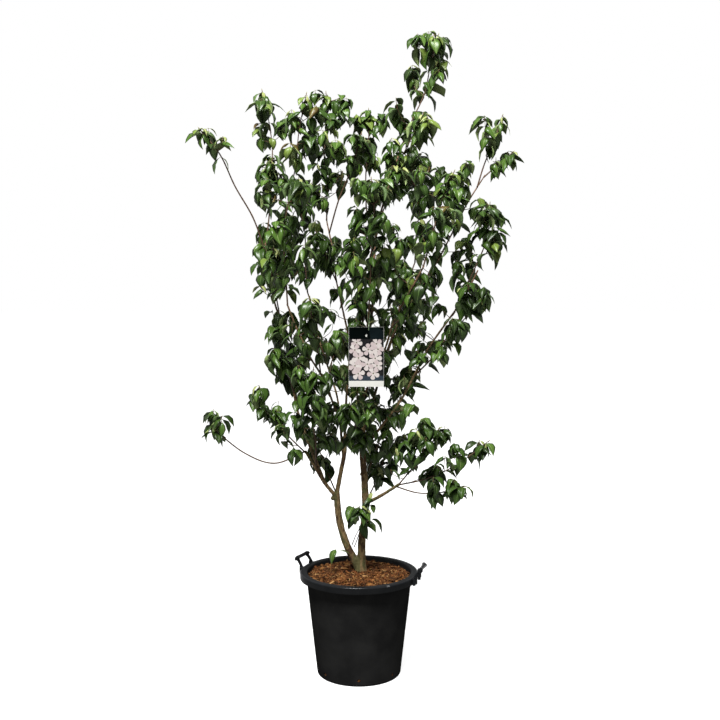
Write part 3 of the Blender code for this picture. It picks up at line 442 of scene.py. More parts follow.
def sweep(pile, points, sections, tint):
    """A closed rod: at each point a ring, given as (sides, 2) offsets across the line."""
    points = np.asarray(points, float)
    sections = np.asarray(sections, float)
    across, over = side_directions(points)
    rings = points[:, None] + across[:, None] * sections[:, :, :1] + over[:, None] * sections[:, :, 1:]
    pile.add(rings.reshape(-1, 3), tube_faces(*sections.shape[:2]), tint)


def circle(sides):
    turn = np.arange(sides) * math.tau / sides
    return np.stack([np.cos(turn), np.sin(turn)], axis=1)


def rod(pile, points, radii, sides, tint):
    """A smooth round rod with a radius at each point."""
    sweep(pile, points, circle(sides)[None] * np.asarray(radii, float)[:, None, None], tint)


def smooth_line(knots, step):
    """Points about a step apart on a curve through the knots, with their shares of its length."""
    knots = np.array([tuple(knot) for knot in knots], float)
    ends = np.concatenate([[2 * knots[0] - knots[1]], knots, [2 * knots[-1] - knots[-2]]])
    runs = len(knots) - 1
    count = max(3, round(np.linalg.norm(np.diff(knots, axis=0), axis=1).sum() / step))
    shares = np.linspace(0.0, 1.0, count + 1)
    place = shares * runs
    index = np.minimum(place.astype(int), runs - 1)
    t = (place - index)[:, None]
    a, b, c, d = ends[index], ends[index + 1], ends[index + 2], ends[index + 3]
    bend = b + 0.5 * t * (c - a + t * (2 * a - 5 * b + 4 * c - d + t * (3 * (b - c) + d - a)))
    return bend, shares


def bowed(foot, tip, bow, phase, share):
    """A point on the bowed and slightly wandering line from foot to tip."""
    run = tip - foot
    side = run.orthogonal().normalized()
    other = side.cross(run.normalized())
    sway = WANDER * run.length * math.sin(math.pi * share)
    drift = side * math.sin(phase + 3.0 * math.pi * share) + other * math.cos(phase + 2.2 * math.pi * share)
    return foot.lerp(tip, share) + bow * (4.0 * share * (1.0 - share)) + drift * sway


class Plant:
    """Where every stem, bough and mass runs, worked out from the tables above."""

    def __init__(self):
        self.knots = {}
        self.radii = {}
        for name, (foot, tip, bow, wide, thin) in STEMS.items():
            self.add(name, Vector(foot), Vector(tip), Vector(bow), wide, thin)
        for name, parent, share, tip, bow, wide, thin in BOUGHS:
            self.add(name, self.at(parent, share), Vector(tip), Vector(bow), wide, thin)
        for name, parent, share, tip, bow, _bare, _reach in MASSES:
            foot = self.at(parent, share)
            self.add(name, foot, Vector(tip), Vector(bow), STEM_FOOT_RADIUS, STEM_TIP_RADIUS)
        self.masses = [row[0] for row in MASSES]
        self.samples = {name: self.sample(name) for name in self.knots}

    def add(self, name, foot, tip, bow, wide, thin):
        """Lays a limb's centre line as evenly spaced knots with straight runs between them."""
        phase = random.Random(f"{SEED} path {name}").uniform(0.0, math.tau)
        runs = max(3, round((tip - foot).length / KNOT_SPACING))
        self.knots[name] = [bowed(foot, tip, bow, phase, index / runs) for index in range(runs + 1)]
        self.radii[name] = (wide, thin)

    def at(self, name, share):
        """The point on a limb's centre line at a share of its length."""
        knots = self.knots[name]
        place = share * (len(knots) - 1)
        index = min(int(place), len(knots) - 2)
        return knots[index].lerp(knots[index + 1], place - index)

    def length(self, name):
        return (self.knots[name][-1] - self.knots[name][0]).length

    def radius(self, name, share):
        wide, thin = self.radii[name]
        return wide + (thin - wide) * share

    def sample(self, name):
        """Points every centimetre along a limb, with the limb's radius at each."""
        count = max(4, round(self.length(name) / 0.01))
        shares = [index / count for index in range(count + 1)]
        points = np.array([self.at(name, share) for share in shares])
        return points, np.array([self.radius(name, share) for share in shares])

    def prepare_space(self, mass):
        """Gathers what a mass has to keep clear of: the other masses' stems and the limbs near it."""
        self.own = self.samples[mass][0]
        self.taken = []
        low = self.own.min(axis=0) - 0.35
        high = self.own.max(axis=0) + 0.35

        def near(points):
            return ((points > low) & (points < high)).all(axis=1)

        other = np.concatenate([self.samples[name][0] for name in self.masses if name != mass])
        limbs = [self.samples[name] for name in self.samples if name not in self.masses]
        limb = np.concatenate([points for points, radii in limbs])
        radii = np.concatenate([radii for points, radii in limbs])
        self.other = other[near(other)]
        self.limb = limb[near(limb)]
        self.limb_radii = radii[near(limb)]

    def apart(self, points):
        """True where a leaf's points keep off the leaves that the mass has grown so far."""
        if not self.taken:
            return True
        taken = np.concatenate(self.taken)
        return bool((np.linalg.norm(points[:, None] - taken, axis=2) > LEAF_MARGIN).all())

    def clear(self, points, margin=SPACE_MARGIN):
        """True where all the points lie in the mass's own space and off every limb."""
        points = np.asarray(points, float)
        own = np.linalg.norm(points[:, None] - self.own, axis=2).min(axis=1)
        other = np.linalg.norm(points[:, None] - self.other, axis=2).min(axis=1)
        limb = (np.linalg.norm(points[:, None] - self.limb, axis=2) - self.limb_radii).min(axis=1)
        return bool((own + margin < other).all() and (limb > LIMB_MARGIN).all())


# Leaves

def leaf_pattern():
    """Corner numbers and kinds (0 upper side, 1 midrib, 2 underside) of a leaf's faces."""
    rows = len(LEAF_ROWS) - 2
    wide = len(LEAF_COLUMNS)
    faces, kinds = [], []
    root, tip = rows * wide, rows * wide + 1
    below = rows * wide + 2
    middle = wide // 2 - 1
    for column in range(wide - 1):
        kind = 1 if column == middle else 0
        faces.append((root, column + 1, column))
        last = (rows - 1) * wide + column
        faces.append((tip, last, last + 1))
        kinds += [kind, kind]
        for row in range(rows - 1):
            low = row * wide + column
            faces.append((low, low + 1, low + 1 + wide, low + wide))
            kinds.append(kind)
    for edge, turn in ((0, 1), (wide - 1, -1)):
        ring = [(root, edge, below)]
        for row in range(rows - 1):
            low = row * wide + edge
            ring.append((low, low + wide, below + row + 1, below + row))
        ring.append(((rows - 1) * wide + edge, tip, below + rows - 1))
        faces += ring if turn > 0 else [tuple(reversed(face)) for face in ring]
        kinds += [2] * len(ring)
    return faces, kinds


LEAF_FACES, LEAF_KINDS = leaf_pattern()


def leaf_corners(root, heading, droop, bend, length, rng, width=1.0):
    """Corner points of one leaf that leaves its root outwards and arches down."""
    t = np.array(LEAF_ROWS)
    half = LEAF_HALF_WIDTH * width * length * rng.uniform(0.86, 1.10) * np.array(LEAF_WIDTHS)
    pitch = droop + bend * np.clip(t / 0.72, 0.0, 1.0) ** 0.85
    step = np.diff(t) * length
    mean = 0.5 * (pitch[1:] + pitch[:-1])
    out = np.array([math.cos(heading), math.sin(heading), 0.0])
    side = np.array([-math.sin(heading), math.cos(heading), 0.0])
    up = np.array([0.0, 0.0, 1.0])
    forward = np.concatenate([[0.0], np.cumsum(np.cos(mean) * step)])
    fall = np.concatenate([[0.0], np.cumsum(np.sin(mean) * step)])
    spine = np.asarray(root)[None] + out * forward[:, None] - up * fall[:, None]
    above = out * np.sin(pitch)[:, None] + up * np.cos(pitch)[:, None]
    sway = rng.uniform(-0.35, 0.35) * length
    spine = spine + side * (sway * t ** 2)[:, None]
    fold = rng.uniform(0.15, 0.85) * (1.0 if rng.random() < 0.72 else -0.7)
    twist = rng.uniform(-0.5, 0.5)
    sides, lifts = [], []
    column = np.array(LEAF_COLUMNS)
    for row in range(1, len(t) - 1):
        ripple = 0.05 * (-1.0) ** row
        wave = np.where(np.abs(column) > 0.8, 1.0, -0.4)
        rise = fold * np.abs(column) - 0.30 * column ** 2 + ripple * wave
        rise = np.where(np.abs(column) < 0.1, 0.0, rise)
        angle = twist * t[row]
        across = side * math.cos(angle) + above[row] * math.sin(angle)
        lift = above[row] * math.cos(angle) - side * math.sin(angle)
        flat = spine[row] + across * (column * half[row])[:, None]
        sides.append(flat + lift * (rise * half[row])[:, None])
        lifts.append(spine[row] - lift * 0.0009)
    return np.concatenate([np.concatenate(sides), spine[:1], spine[-1:], np.array(lifts)]), spine


TONES = {
    "deep": (0, 6, 9),
    "dark": (1, 6, 9),
    "mid": (2, 7, 10),
    "bright": (3, 7, 10),
    "young": (4, 8, 11),
    "bronze": (5, 7, 10),
}


def hang_leaf(plant, foliage, root, heading, rng, tone, size=1.0, stalk=0.006):
    """One leaf on its stalk, where some droop finds it room."""
    length = rng.uniform(*LEAF_LENGTH) * size
    root = np.asarray(root, float)
    out = np.array([math.cos(heading), math.sin(heading), 0.0])
    width = YOUNG_WIDTH if tone == "young" else 1.0
    for _attempt in range(LEAF_TRIES):
        droop = math.radians(rng.uniform(-12.0, 45.0))
        bend = math.radians(rng.uniform(48.0, 82.0))
        blade = root + out * (stalk * math.cos(droop)) - np.array([0.0, 0.0, stalk * math.sin(droop)])
        corners, spine = leaf_corners(blade, heading, droop, bend, length, rng, width)
        probes = [*spine[3:], corners[12], corners[17], corners[24], corners[29]]
        if plant.clear(probes) and plant.apart(spine[3:]):
            plant.taken.append(spine[3:])
            top, rib, under = TONES[tone]
            foliage.add(corners, LEAF_FACES, [(top, rib, under)[kind] for kind in LEAF_KINDS])
            rod(plant.shoots, [root - out * 0.001, blade + out * 0.002], [0.0009, 0.0007], 3, 2)
            return True
    return False


def pick_tone(rng, height):
    """Leaf tones at random, drawn to deeper greens inside and low down and brighter ones high up: painted
    shade inside and low in the crown, painted light at its top.
    """
    draw = rng.random() + 0.25 * height
    if draw < 0.34:
        return "deep"
    if draw < 0.78:
        return "dark"
    if draw < 1.06:
        return "mid"
    return "bright" if rng.random() < 0.93 else "bronze"


def rosette(plant, foliage, tip, back, heading, rng, pairs, height, young=0.0):
    """Pairs of leaves crosswise round a shoot's end, the uppermost the smallest."""
    for pair in range(pairs):
        size = 1.0 - 0.10 * (pairs - 1 - pair)
        tone = pick_tone(rng, height)
        if rng.random() < young and pair == 0:
            tone = "young"
            size = 0.68
        for side in range(2):
            course = heading + 0.5 * math.pi * (pair + 1) + math.pi * side + rng.uniform(-0.35, 0.35)
            root = np.asarray(tip) + np.asarray(back) * (0.002 + 0.011 * pair)
            hang_leaf(plant, foliage, root, course, rng, tone, size * rng.uniform(0.85, 1.08))


def bud(pile, place, direction, length, tint):
    """A slim pointed bud."""
    points = [np.asarray(place) + np.asarray(direction) * length * share for share in (0.0, 0.3, 0.65, 1.0)]
    rod(pile, points, [0.0011, 0.0018, 0.0012, 0.0002], 5, tint)


def grow_shoot(plant, foliage, start, heading, length, lift, rise, rng, height, young, pairs=3):
    """A thin shoot that leaves its stem sideways and turns up, with leaf pairs and a tip of leaves."""
    out = np.array([math.cos(heading), math.sin(heading), 0.0])
    up = np.array([0.0, 0.0, 1.0])
    start = np.asarray(start, float)
    elbow = start + out * (length * math.cos(lift)) + up * (length * math.sin(lift))
    tilt = out * rng.uniform(0.05, 0.35) + up
    top = elbow + tilt * rise
    sag = start + (elbow - start) * 0.5 - up * 0.06 * length
    line, _shares = smooth_line([start, sag, elbow, top], SHOOT_STEP)
    keep = len(line)
    while keep > 3 and not plant.clear(line[2:keep], 0.0):
        keep -= 1
    if keep <= 3:
        return False
    line = line[:keep]
    rod(plant.shoots, line, np.linspace(0.0018, 0.0010, keep), 5, 1)
    node = rng.uniform(0.045, 0.065)
    run = np.concatenate([[0.0], np.cumsum(np.linalg.norm(np.diff(line, axis=0), axis=1))])
    turn = heading + 0.5 * math.pi
    place = run[-1] - node
    while place > 0.03:
        spot = np.array([np.interp(place, run, line[:, axis]) for axis in range(3)])
        tone = pick_tone(rng, height)
        for side in range(2):
            course = turn + math.pi * side + rng.uniform(-0.3, 0.3)
            hang_leaf(plant, foliage, spot, course, rng, tone, rng.uniform(0.8, 1.05))
        turn += 0.5 * math.pi
        place -= node
    back = line[-2] - line[-1]
    rosette(plant, foliage, line[-1], back / np.linalg.norm(back), turn, rng, pairs, height, young)
    return True


def grow_mass(plant, foliage, row):
    """One mass: its stem, the part's own twigs carried on upwards, and leaves of their real size."""
    name, _parent, _share, _tip, _bow, bare, reach = row
    plant.prepare_space(name)
    shoots = plant.shoots
    line, shares = smooth_line(plant.knots[name], SHOOT_STEP)
    steps = np.arange(len(line))
    thin = WHIP_THIN if bare > 0.5 else STEM_THIN
    radii = STEM_THICK + (thin - STEM_THICK) * shares + 0.00025 * (steps % 7 == 0)
    rod(shoots, line, radii, 7, 0)
    stem_length = plant.length(name)
    tiers = max(1, round(stem_length * (1.0 - bare) / TIER_SPACING))
    first_turn = random.Random(f"{SEED} {name}").uniform(0.0, math.pi)
    # The mass's height in the crown: higher masses draw brighter leaf tones as painted light, lower ones
    # deeper tones as painted shade
    height = (plant.at(name, 0.5).z - 1.0) / 1.8
    for tier in range(tiers):
        share = bare + (1.0 - bare) * (tier + 0.3) / tiers
        for side in range(2):
            rng = random.Random(f"{SEED} {name} {tier} {side}")
            heading = first_turn + 0.5 * math.pi * tier + math.pi * side + rng.uniform(-0.3, 0.3)
            lift = math.radians(rng.uniform(*TWIG_LIFT))
            length = reach * rng.uniform(0.7, 1.15) * (1.15 - 0.5 * tier / tiers)
            rise = rng.uniform(0.02, 0.12) * (1.0 - 0.6 * tier / tiers)
            grow_shoot(plant, foliage, plant.at(name, share), heading, length, lift, rise, rng, height, 0.3)
    rng = random.Random(f"{SEED} {name} between")
    place = bare * stem_length + 0.02
    turn = first_turn + 0.8
    while place < stem_length - 0.03:
        spot = plant.at(name, place / stem_length)
        for side in range(2):
            course = turn + math.pi * side + rng.uniform(-0.3, 0.3)
            if rng.random() < SHOOTS_BETWEEN:
                length = reach * rng.uniform(0.25, 0.9)
                lift = math.radians(rng.uniform(15.0, 50.0))
                rise = rng.uniform(0.0, 0.05)
                grow_shoot(plant, foliage, spot, course, length, lift, rise, rng, height, 0.15)
            else:
                tone = pick_tone(rng, height)
                hang_leaf(plant, foliage, spot, course, rng, tone, rng.uniform(0.8, 1.05), 0.008)
        turn += 0.5 * math.pi + rng.uniform(-0.2, 0.2)
        place += rng.uniform(0.050, 0.075)
    rng = random.Random(f"{SEED} {name} tip")
    end = np.array(plant.at(name, 1.0))
    up = end - np.array(plant.at(name, 0.96))
    up = up / np.linalg.norm(up)
    heading = rng.uniform(0.0, math.tau)
    # The tip's leaves count 0.3 higher, so they draw brighter tones: painted light on the tips
    rosette(plant, foliage, end - up * 0.004, -up, heading, rng, 4, height + 0.3, 0.6)
    bud(shoots, end - up * 0.002, up, 0.010, 2)


def grow_bough(plant, foliage, name):
    """Sparse thin shoots of a bough itself, between the masses, as the open middle of the crown has them."""
    plant.prepare_space(name)
    rng = random.Random(f"{SEED} {name} shoots")
    place = rng.uniform(0.06, 0.10)
    turn = rng.uniform(0.0, math.tau)
    while place < plant.length(name) - 0.04:
        spot = plant.at(name, place / plant.length(name))
        height = (spot.z - 1.0) / 1.8
        if spot.z > BARE_BELOW:
            for side in range(2):
                course = turn + math.pi * side + rng.uniform(-0.4, 0.4)
                length = rng.uniform(0.03, 0.13)
                lift = math.radians(rng.uniform(5.0, 50.0))
                rise = rng.uniform(0.0, 0.05)
                grow_shoot(plant, foliage, spot, course, length, lift, rise, rng, height, 0.1, 2)
        turn += 0.5 * math.pi + rng.uniform(-0.3, 0.3)
        place += rng.uniform(*BOUGH_SHOOTS)


def grow_sprouts(plant, foliage):
    """Single leaves and thin shoots at the foot of the stems, each on a stalk drawn through its points."""
    for points, heading, droop, bend, length, width, tone in SPROUTS:
        line, shares = smooth_line([np.array(point) for point in points], 0.004)
        rod(plant.shoots, line, (0.0013 if length else 0.0024) - 0.0005 * shares, 5, 2 if length else 1)
        if not length:
            continue
        rng = random.Random(f"{SEED} sprout {points[0]}")
        corners, _spine = leaf_corners(
            line[-1], math.radians(heading), math.radians(droop), math.radians(bend), length, rng, width,
        )
        top, rib, under = TONES[tone]
        foliage.add(corners, LEAF_FACES, [(top, rib, under)[kind] for kind in LEAF_KINDS])


def grow_crown(plant, shoot_materials, leaf_materials):
    """All masses, their leaves joined by where they stand in the crown."""
    plant.shoots = Pile()
    groups = {"leaves_left": [], "leaves_middle": [], "leaves_right": []}
    for row in MASSES:
        x = row[3][0]
        side = "left" if x < -0.22 else "right" if x > 0.26 else "middle"
        groups["leaves_" + side].append(row)
    for name, rows in groups.items():
        foliage = Pile()
        for row in rows:
            grow_mass(plant, foliage, row)
        if name == "leaves_middle":
            grow_sprouts(plant, foliage)
        foliage.build("crown_" + name, leaf_materials, "leaf", [row[0] for row in rows])
    inner = Pile()
    for name, *_rest in BOUGHS:
        grow_bough(plant, inner, name)
    for limb, share, heading, length, lift, rise in LOW_SHOOTS:
        plant.prepare_space(limb)
        rng = random.Random(f"{SEED} {limb} {share}")
        spot = plant.at(limb, share)
        heading, lift = math.radians(heading), math.radians(lift)
        grow_shoot(plant, inner, spot, heading, length, lift, rise, rng, 0.2, 0.0)
    inner.build("crown_leaves_inner", leaf_materials, "leaf", [row[0] for row in BOUGHS])
    plant.shoots.build("crown_twigs", shoot_materials, "bark", plant.masses)


# Bark

def limb_rod(plant, pile, name, sides, flare):
    """A limb's plain rod, swollen at its nodes and where it leaves the mulch."""
    line, shares = smooth_line(plant.knots[name], 0.008)
    wide, thin = plant.radii[name]
    run = shares * plant.length(name)
    gap = random.Random(f"{SEED} nodes {name}").uniform(0.075, 0.105)
    swell = 0.07 * np.clip(np.abs((run / gap) % 1.0 - 0.5) * 10.0 - 4.0, 0.0, 1.0)
    slim = np.interp(line[:, 2], SLIM_FROM, [1.0, SLIM])
    radii = (wide + (thin - wide) * shares) * (1.0 + swell) * slim + flare * np.exp(-run / 0.025)
    rod(pile, line, radii, sides, 0)


def build_bark(plant, materials):
    """Stems and boughs melted into one mesh, with the bark's ridges and pores and its mossy places."""
    pile = Pile()
    limb_rod(plant, pile, "right_stem", 24, 0.009)
    limb_rod(plant, pile, "left_stem", 24, 0.003)
    for name, *_rest in BOUGHS:
        limb_rod(plant, pile, name, 14, 0.0)
    shares = np.linspace(0.0, 1.0, 14)
    heart = [(0.007, 0.0, SOIL_CROWN + GAP + FLARE_HEIGHT * share) for share in shares]
    rod(pile, heart, np.interp(shares, [0.0, 0.25, 0.6, 1.0], [FLARE_RADIUS, 0.025, 0.022, 0.016]), 24, 0)
    for place, size in KNOBS:
        ends = [Vector(place) + Vector((0.0, 0.0, size * step)) for step in (-0.9, -0.5, 0.0, 0.5, 0.9)]
        rod(pile, ends, [0.3 * size, 0.8 * size, size, 0.8 * size, 0.3 * size], 12, 0)
    piece = pile.build("bark_of_limbs", materials, "bark", ["trunk"] + [row[0] for row in BOUGHS])
    melt = piece.modifiers.new("melt", "REMESH")
    melt.mode = "VOXEL"
    melt.voxel_size = BARK_VOXEL
    soften = piece.modifiers.new("soften", "SMOOTH")
    soften.factor = 0.5
    soften.iterations = 4
    bake(piece)

    mesh = piece.data
    places = np.empty(len(mesh.vertices) * 3)
    normals = np.empty(len(mesh.vertices) * 3)
    mesh.vertices.foreach_get("co", places)
    mesh.vertices.foreach_get("normal", normals)
    places = places.reshape(-1, 3)
    normals = normals.reshape(-1, 3)
    ridges = field(places, (120.0, 120.0, 30.0))
    pores = field(places, (300.0, 300.0, 240.0))
    depth = np.interp(places[:, 2], [0.5, 1.1, 2.0], [0.0011, 0.0007, 0.0004])
    places = places + normals * (depth * ridges + 0.4 * depth * pores)[:, None]
    mesh.vertices.foreach_set("co", places.ravel())

    middles = np.empty(len(mesh.polygons) * 3)
    mesh.polygons.foreach_get("center", middles)
    middles = middles.reshape(-1, 3)
    patches = field(middles, (26.0, 26.0, 12.0)) + 0.5 * field(middles, (110.0, 110.0, 60.0))
    x, z = middles[:, 0], middles[:, 2]
    mossy = np.full(len(middles), 0.50)
    mossy[(z < 0.74) & (x < 0.005)] = 0.05
    mossy[(z > 0.90) & (z < 1.55) & (x < -0.12)] = 0.12
    tints = np.zeros(len(middles), int)
    young = np.interp(z, [1.0, 2.1], [-0.9, 0.9]) + 0.6 * patches > 0.0
    tints[young] = 2
    tints[~young & (patches < -0.62)] = 3
    tints[patches > mossy] = 1
    mesh.polygons.foreach_set("material_index", tints)
    mesh.shade_smooth()
    mesh.update()


def field(places, scale):
    """Soft noise from about -0.8 to 0.8 at each place."""
    return np.array([noise.noise(place) for place in (places * scale).tolist()]) * 1.6


# Pot

def pot_radius(height):
    """Outer radius of the tapered wall at a height."""
    share = height / (POT_HEIGHT - LIP_DEPTH)
    return BASE_RADIUS + (BODY_TOP_RADIUS - BASE_RADIUS) * share


def turned(name, profile, sides):
    """A profile of (radius, height) turned about Z, run from the inside over to the outside."""
    mesh = bpy.data.meshes.new(name)
    mesh.from_pydata([(r, 0.0, z) for r, z in profile], [(i, i + 1) for i in range(len(profile) - 1)], [])
    piece = bpy.data.objects.new(name, mesh)
    bpy.context.scene.collection.objects.link(piece)
    turn = piece.modifiers.new("turn", "SCREW")
    turn.axis = "Z"
    turn.steps = sides
    turn.render_steps = sides
    turn.use_merge_vertices = True
    turn.merge_threshold = 0.0001
    bake(piece)
    return piece


def bake(piece):
    """Works the piece's modifiers out into its mesh."""
    bpy.context.view_layer.update()
    depsgraph = bpy.context.evaluated_depsgraph_get()
    result = bpy.data.meshes.new_from_object(piece.evaluated_get(depsgraph))
    piece.modifiers.clear()
    piece.data = result


def arc(centre, radius, start, end, count):
    """Points on an arc in the profile's plane, angles in degrees."""
    angles = [math.radians(start + (end - start) * index / count) for index in range(count + 1)]
    return [(centre[0] + radius * math.cos(a), centre[1] + radius * math.sin(a)) for a in angles]


def build_pot(plastics):
    lip_foot = POT_HEIGHT - LIP_DEPTH
    inner_top = BODY_TOP_RADIUS - WALL
    top = POT_HEIGHT - LIP_ROUND
    profile = [(0.0, FLOOR), (pot_radius(FLOOR) - WALL, FLOOR), (inner_top, lip_foot)]
    profile += arc((inner_top + LIP_ROUND, top), LIP_ROUND, 180.0, 90.0, 5)
    profile += arc((RIM_RADIUS - LIP_ROUND, top), LIP_ROUND, 90.0, 0.0, 6)
    profile += [(RIM_RADIUS, lip_foot + 0.004)]
    profile += arc((RIM_RADIUS - 0.0016, lip_foot + 0.0016), 0.0016, 0.0, -180.0, 4)
    profile += [(RIM_RADIUS - LIP_WALL, POT_HEIGHT - LIP_ROUND - LIP_WALL)]
    profile += [(BODY_TOP_RADIUS + LIP_WALL, POT_HEIGHT - LIP_ROUND - LIP_WALL), (BODY_TOP_RADIUS, lip_foot)]
    profile += [(pot_radius(height), height) for height in (0.40, 0.30, 0.20, 0.10, 0.04)]
    profile += arc((pot_radius(0.010) - 0.010, 0.010), 0.010, 0.0, -90.0, 5)
    profile += [(BASE_RADIUS - 0.030, 0.0), (BASE_RADIUS - 0.034, 0.004), (0.0, 0.004)]
    pot = turned("pot_shell", profile, 120)
    drills = []
    for index in range(DRAIN_HOLES):
        bearing = math.radians(-90.0 + 360.0 * index / DRAIN_HOLES)
        turn = Matrix.Rotation(bearing, 4, "Z") @ Matrix.Rotation(math.radians(90.0), 4, "Y")
        place = Matrix.Translation((0.0, 0.0, DRAIN_HEIGHT)) @ turn
        bm = bmesh.new()
        bmesh.ops.create_cone(
            bm, segments=20, radius1=DRAIN_RADIUS, radius2=DRAIN_RADIUS, depth=0.04, cap_ends=True,
            matrix=place @ Matrix.Translation((0.0, 0.0, pot_radius(DRAIN_HEIGHT))),
        )
        mesh = bpy.data.meshes.new("drain")
        bm.to_mesh(mesh)
        bm.free()
        drill = bpy.data.objects.new("drain", mesh)
        bpy.context.scene.collection.objects.link(drill)
        drills.append(drill)
        cut = pot.modifiers.new("cut", "BOOLEAN")
        cut.operation = "DIFFERENCE"
        cut.solver = "EXACT"
        cut.object = drill
    bake(pot)
    for drill in drills:
        bpy.data.objects.remove(drill, do_unlink=True)
    for plastic in plastics:
        pot.data.materials.append(plastic)
    for face in pot.data.polygons:
        x, y, z = face.center
        reach = math.hypot(x, y)
        if z > lip_foot + 0.002 and reach > inner_top + LIP_WALL:
            face.material_index = 2 if z > top + 0.001 and reach > RIM_RADIUS - LIP_ROUND else 1
            if face.material_index == 2 and math.hypot(x - SCUFF_PLACE[0], y - SCUFF_PLACE[1]) < SCUFF_REACH:
                face.material_index = 3
    pot.data.shade_smooth()
    pot.data.set_sharp_from_angle(angle=math.radians(35.0))
    dress(pot, ["pot"])


def build_handle(node, bearing, plastic):
    """A bail of channel section with a grip that flares past its legs, on stepped and ribbed brackets."""
    turn = Matrix.Rotation(math.radians(bearing), 4, "Z")
    pile = Pile()
    seat = RIM_RADIUS + GAP
    spread = math.radians(HANDLE_SPREAD)
    start = (seat + 0.006) * math.cos(spread)
    root = (seat + 0.006) * math.sin(spread)
    foot = POT_HEIGHT + HANDLE_LIFT

    def place(points):
        return np.array([turn @ Vector(point) for point in points])

    def block(low, high, lean, inset=0.0012):
        """A block with eased edges, turned to lie against the lip."""
        spin = Matrix.Rotation(lean, 4, "Z")
        rings = []
        for z, shrink in ((low[2], inset), (low[2] + inset, 0.0), (high[2] - inset, 0.0), (high[2], inset)):
            x0, x1, y0, y1 = low[0] + shrink, high[0] - shrink, low[1] + shrink, high[1] - shrink
            ring = ((x0, y0, z), (x1, y0, z), (x1, y1, z), (x0, y1, z))
            rings += [spin @ Vector(corner) for corner in ring]
        pile.add(place(rings), tube_faces(4, 4), 0)

    top = (start + HANDLE_REACH, foot + HANDLE_RISE)
    for sign in (-1.0, 1.0):
        leg = [
            (start + 0.001, sign * root, foot - 0.022),
            (start + 0.002, sign * root, foot - 0.002),
            (start + 0.28 * HANDLE_REACH, sign * root, foot + 0.27 * HANDLE_RISE),
            (start + 0.62 * HANDLE_REACH, sign * (root - 0.001), foot + 0.62 * HANDLE_RISE),
            (top[0] - 0.002, sign * (root - 0.003), top[1] - 0.004),
        ]
        line, shares = smooth_line([turn @ Vector(point) for point in leg], 0.004)
        channel = 0.001 * np.array(LEG_SECTION)
        swell = 1.0 + 0.25 * np.clip(1.0 - shares * 4.0, 0.0, 1.0)
        swell = swell + 0.20 * np.clip(shares * 5.0 - 4.0, 0.0, 1.0)
        sweep(pile, line, channel[None] * swell[:, None, None], 0)
        lean = sign * spread
        block((seat, -0.012, foot - 0.036), (seat + 0.0075, 0.012, foot - 0.004), lean)
        block((seat + 0.006, -0.0105, foot - 0.026), (seat + 0.0135, 0.0105, foot + 0.003), lean)
        for rib in (-0.0125, 0.0100):
            low = (seat + 0.001, rib, foot - 0.034)
            block(low, (seat + 0.0125, rib + 0.0025, foot - 0.006), lean, 0.0004)

    out = Vector((HANDLE_REACH, 0.0, HANDLE_RISE)).normalized()
    over = Vector((0.0, 1.0, 0.0)).cross(out)
    profile = ((-1.0, -0.45), (-0.55, -0.95), (0.45, -1.0), (1.0, -0.55))
    profile += ((1.0, 0.55), (0.45, 1.0), (-0.55, 0.95), (-1.0, 0.45))
    rings = []
    stops = (-1.30, -1.15, -1.0, -0.80, -0.40, 0.0, 0.40, 0.80, 1.0, 1.15, 1.30)
    for stop in stops:
        tall = np.interp(abs(stop), [0.0, 0.8, 1.0, 1.15, 1.30], [0.0078, 0.0082, 0.0098, 0.0086, 0.0045])
        deep = np.interp(abs(stop), [0.0, 0.8, 1.0, 1.15, 1.30], [0.0070, 0.0078, 0.0108, 0.0122, 0.0100])
        droop = np.interp(abs(stop), [0.9, 1.30], [0.0, 0.0040])
        middle = Vector((top[0], stop * (root - 0.002), top[1])) - out * droop
        for a, b in profile:
            rings.append(middle + out * (a * tall) + over * (b * deep))
    pile.add(place(rings), tube_faces(len(stops), len(profile)), 0)
    bail = pile.build(node + "_bail", [plastic], "pot_plastic", [node])
    bm = bmesh.new()
    bm.from_mesh(bail.data)
    bmesh.ops.recalc_face_normals(bm, faces=bm.faces)
    bm.to_mesh(bail.data)
    bm.free()
    bail.data.shade_smooth()
    bail.data.set_sharp_from_angle(angle=math.radians(32.0))


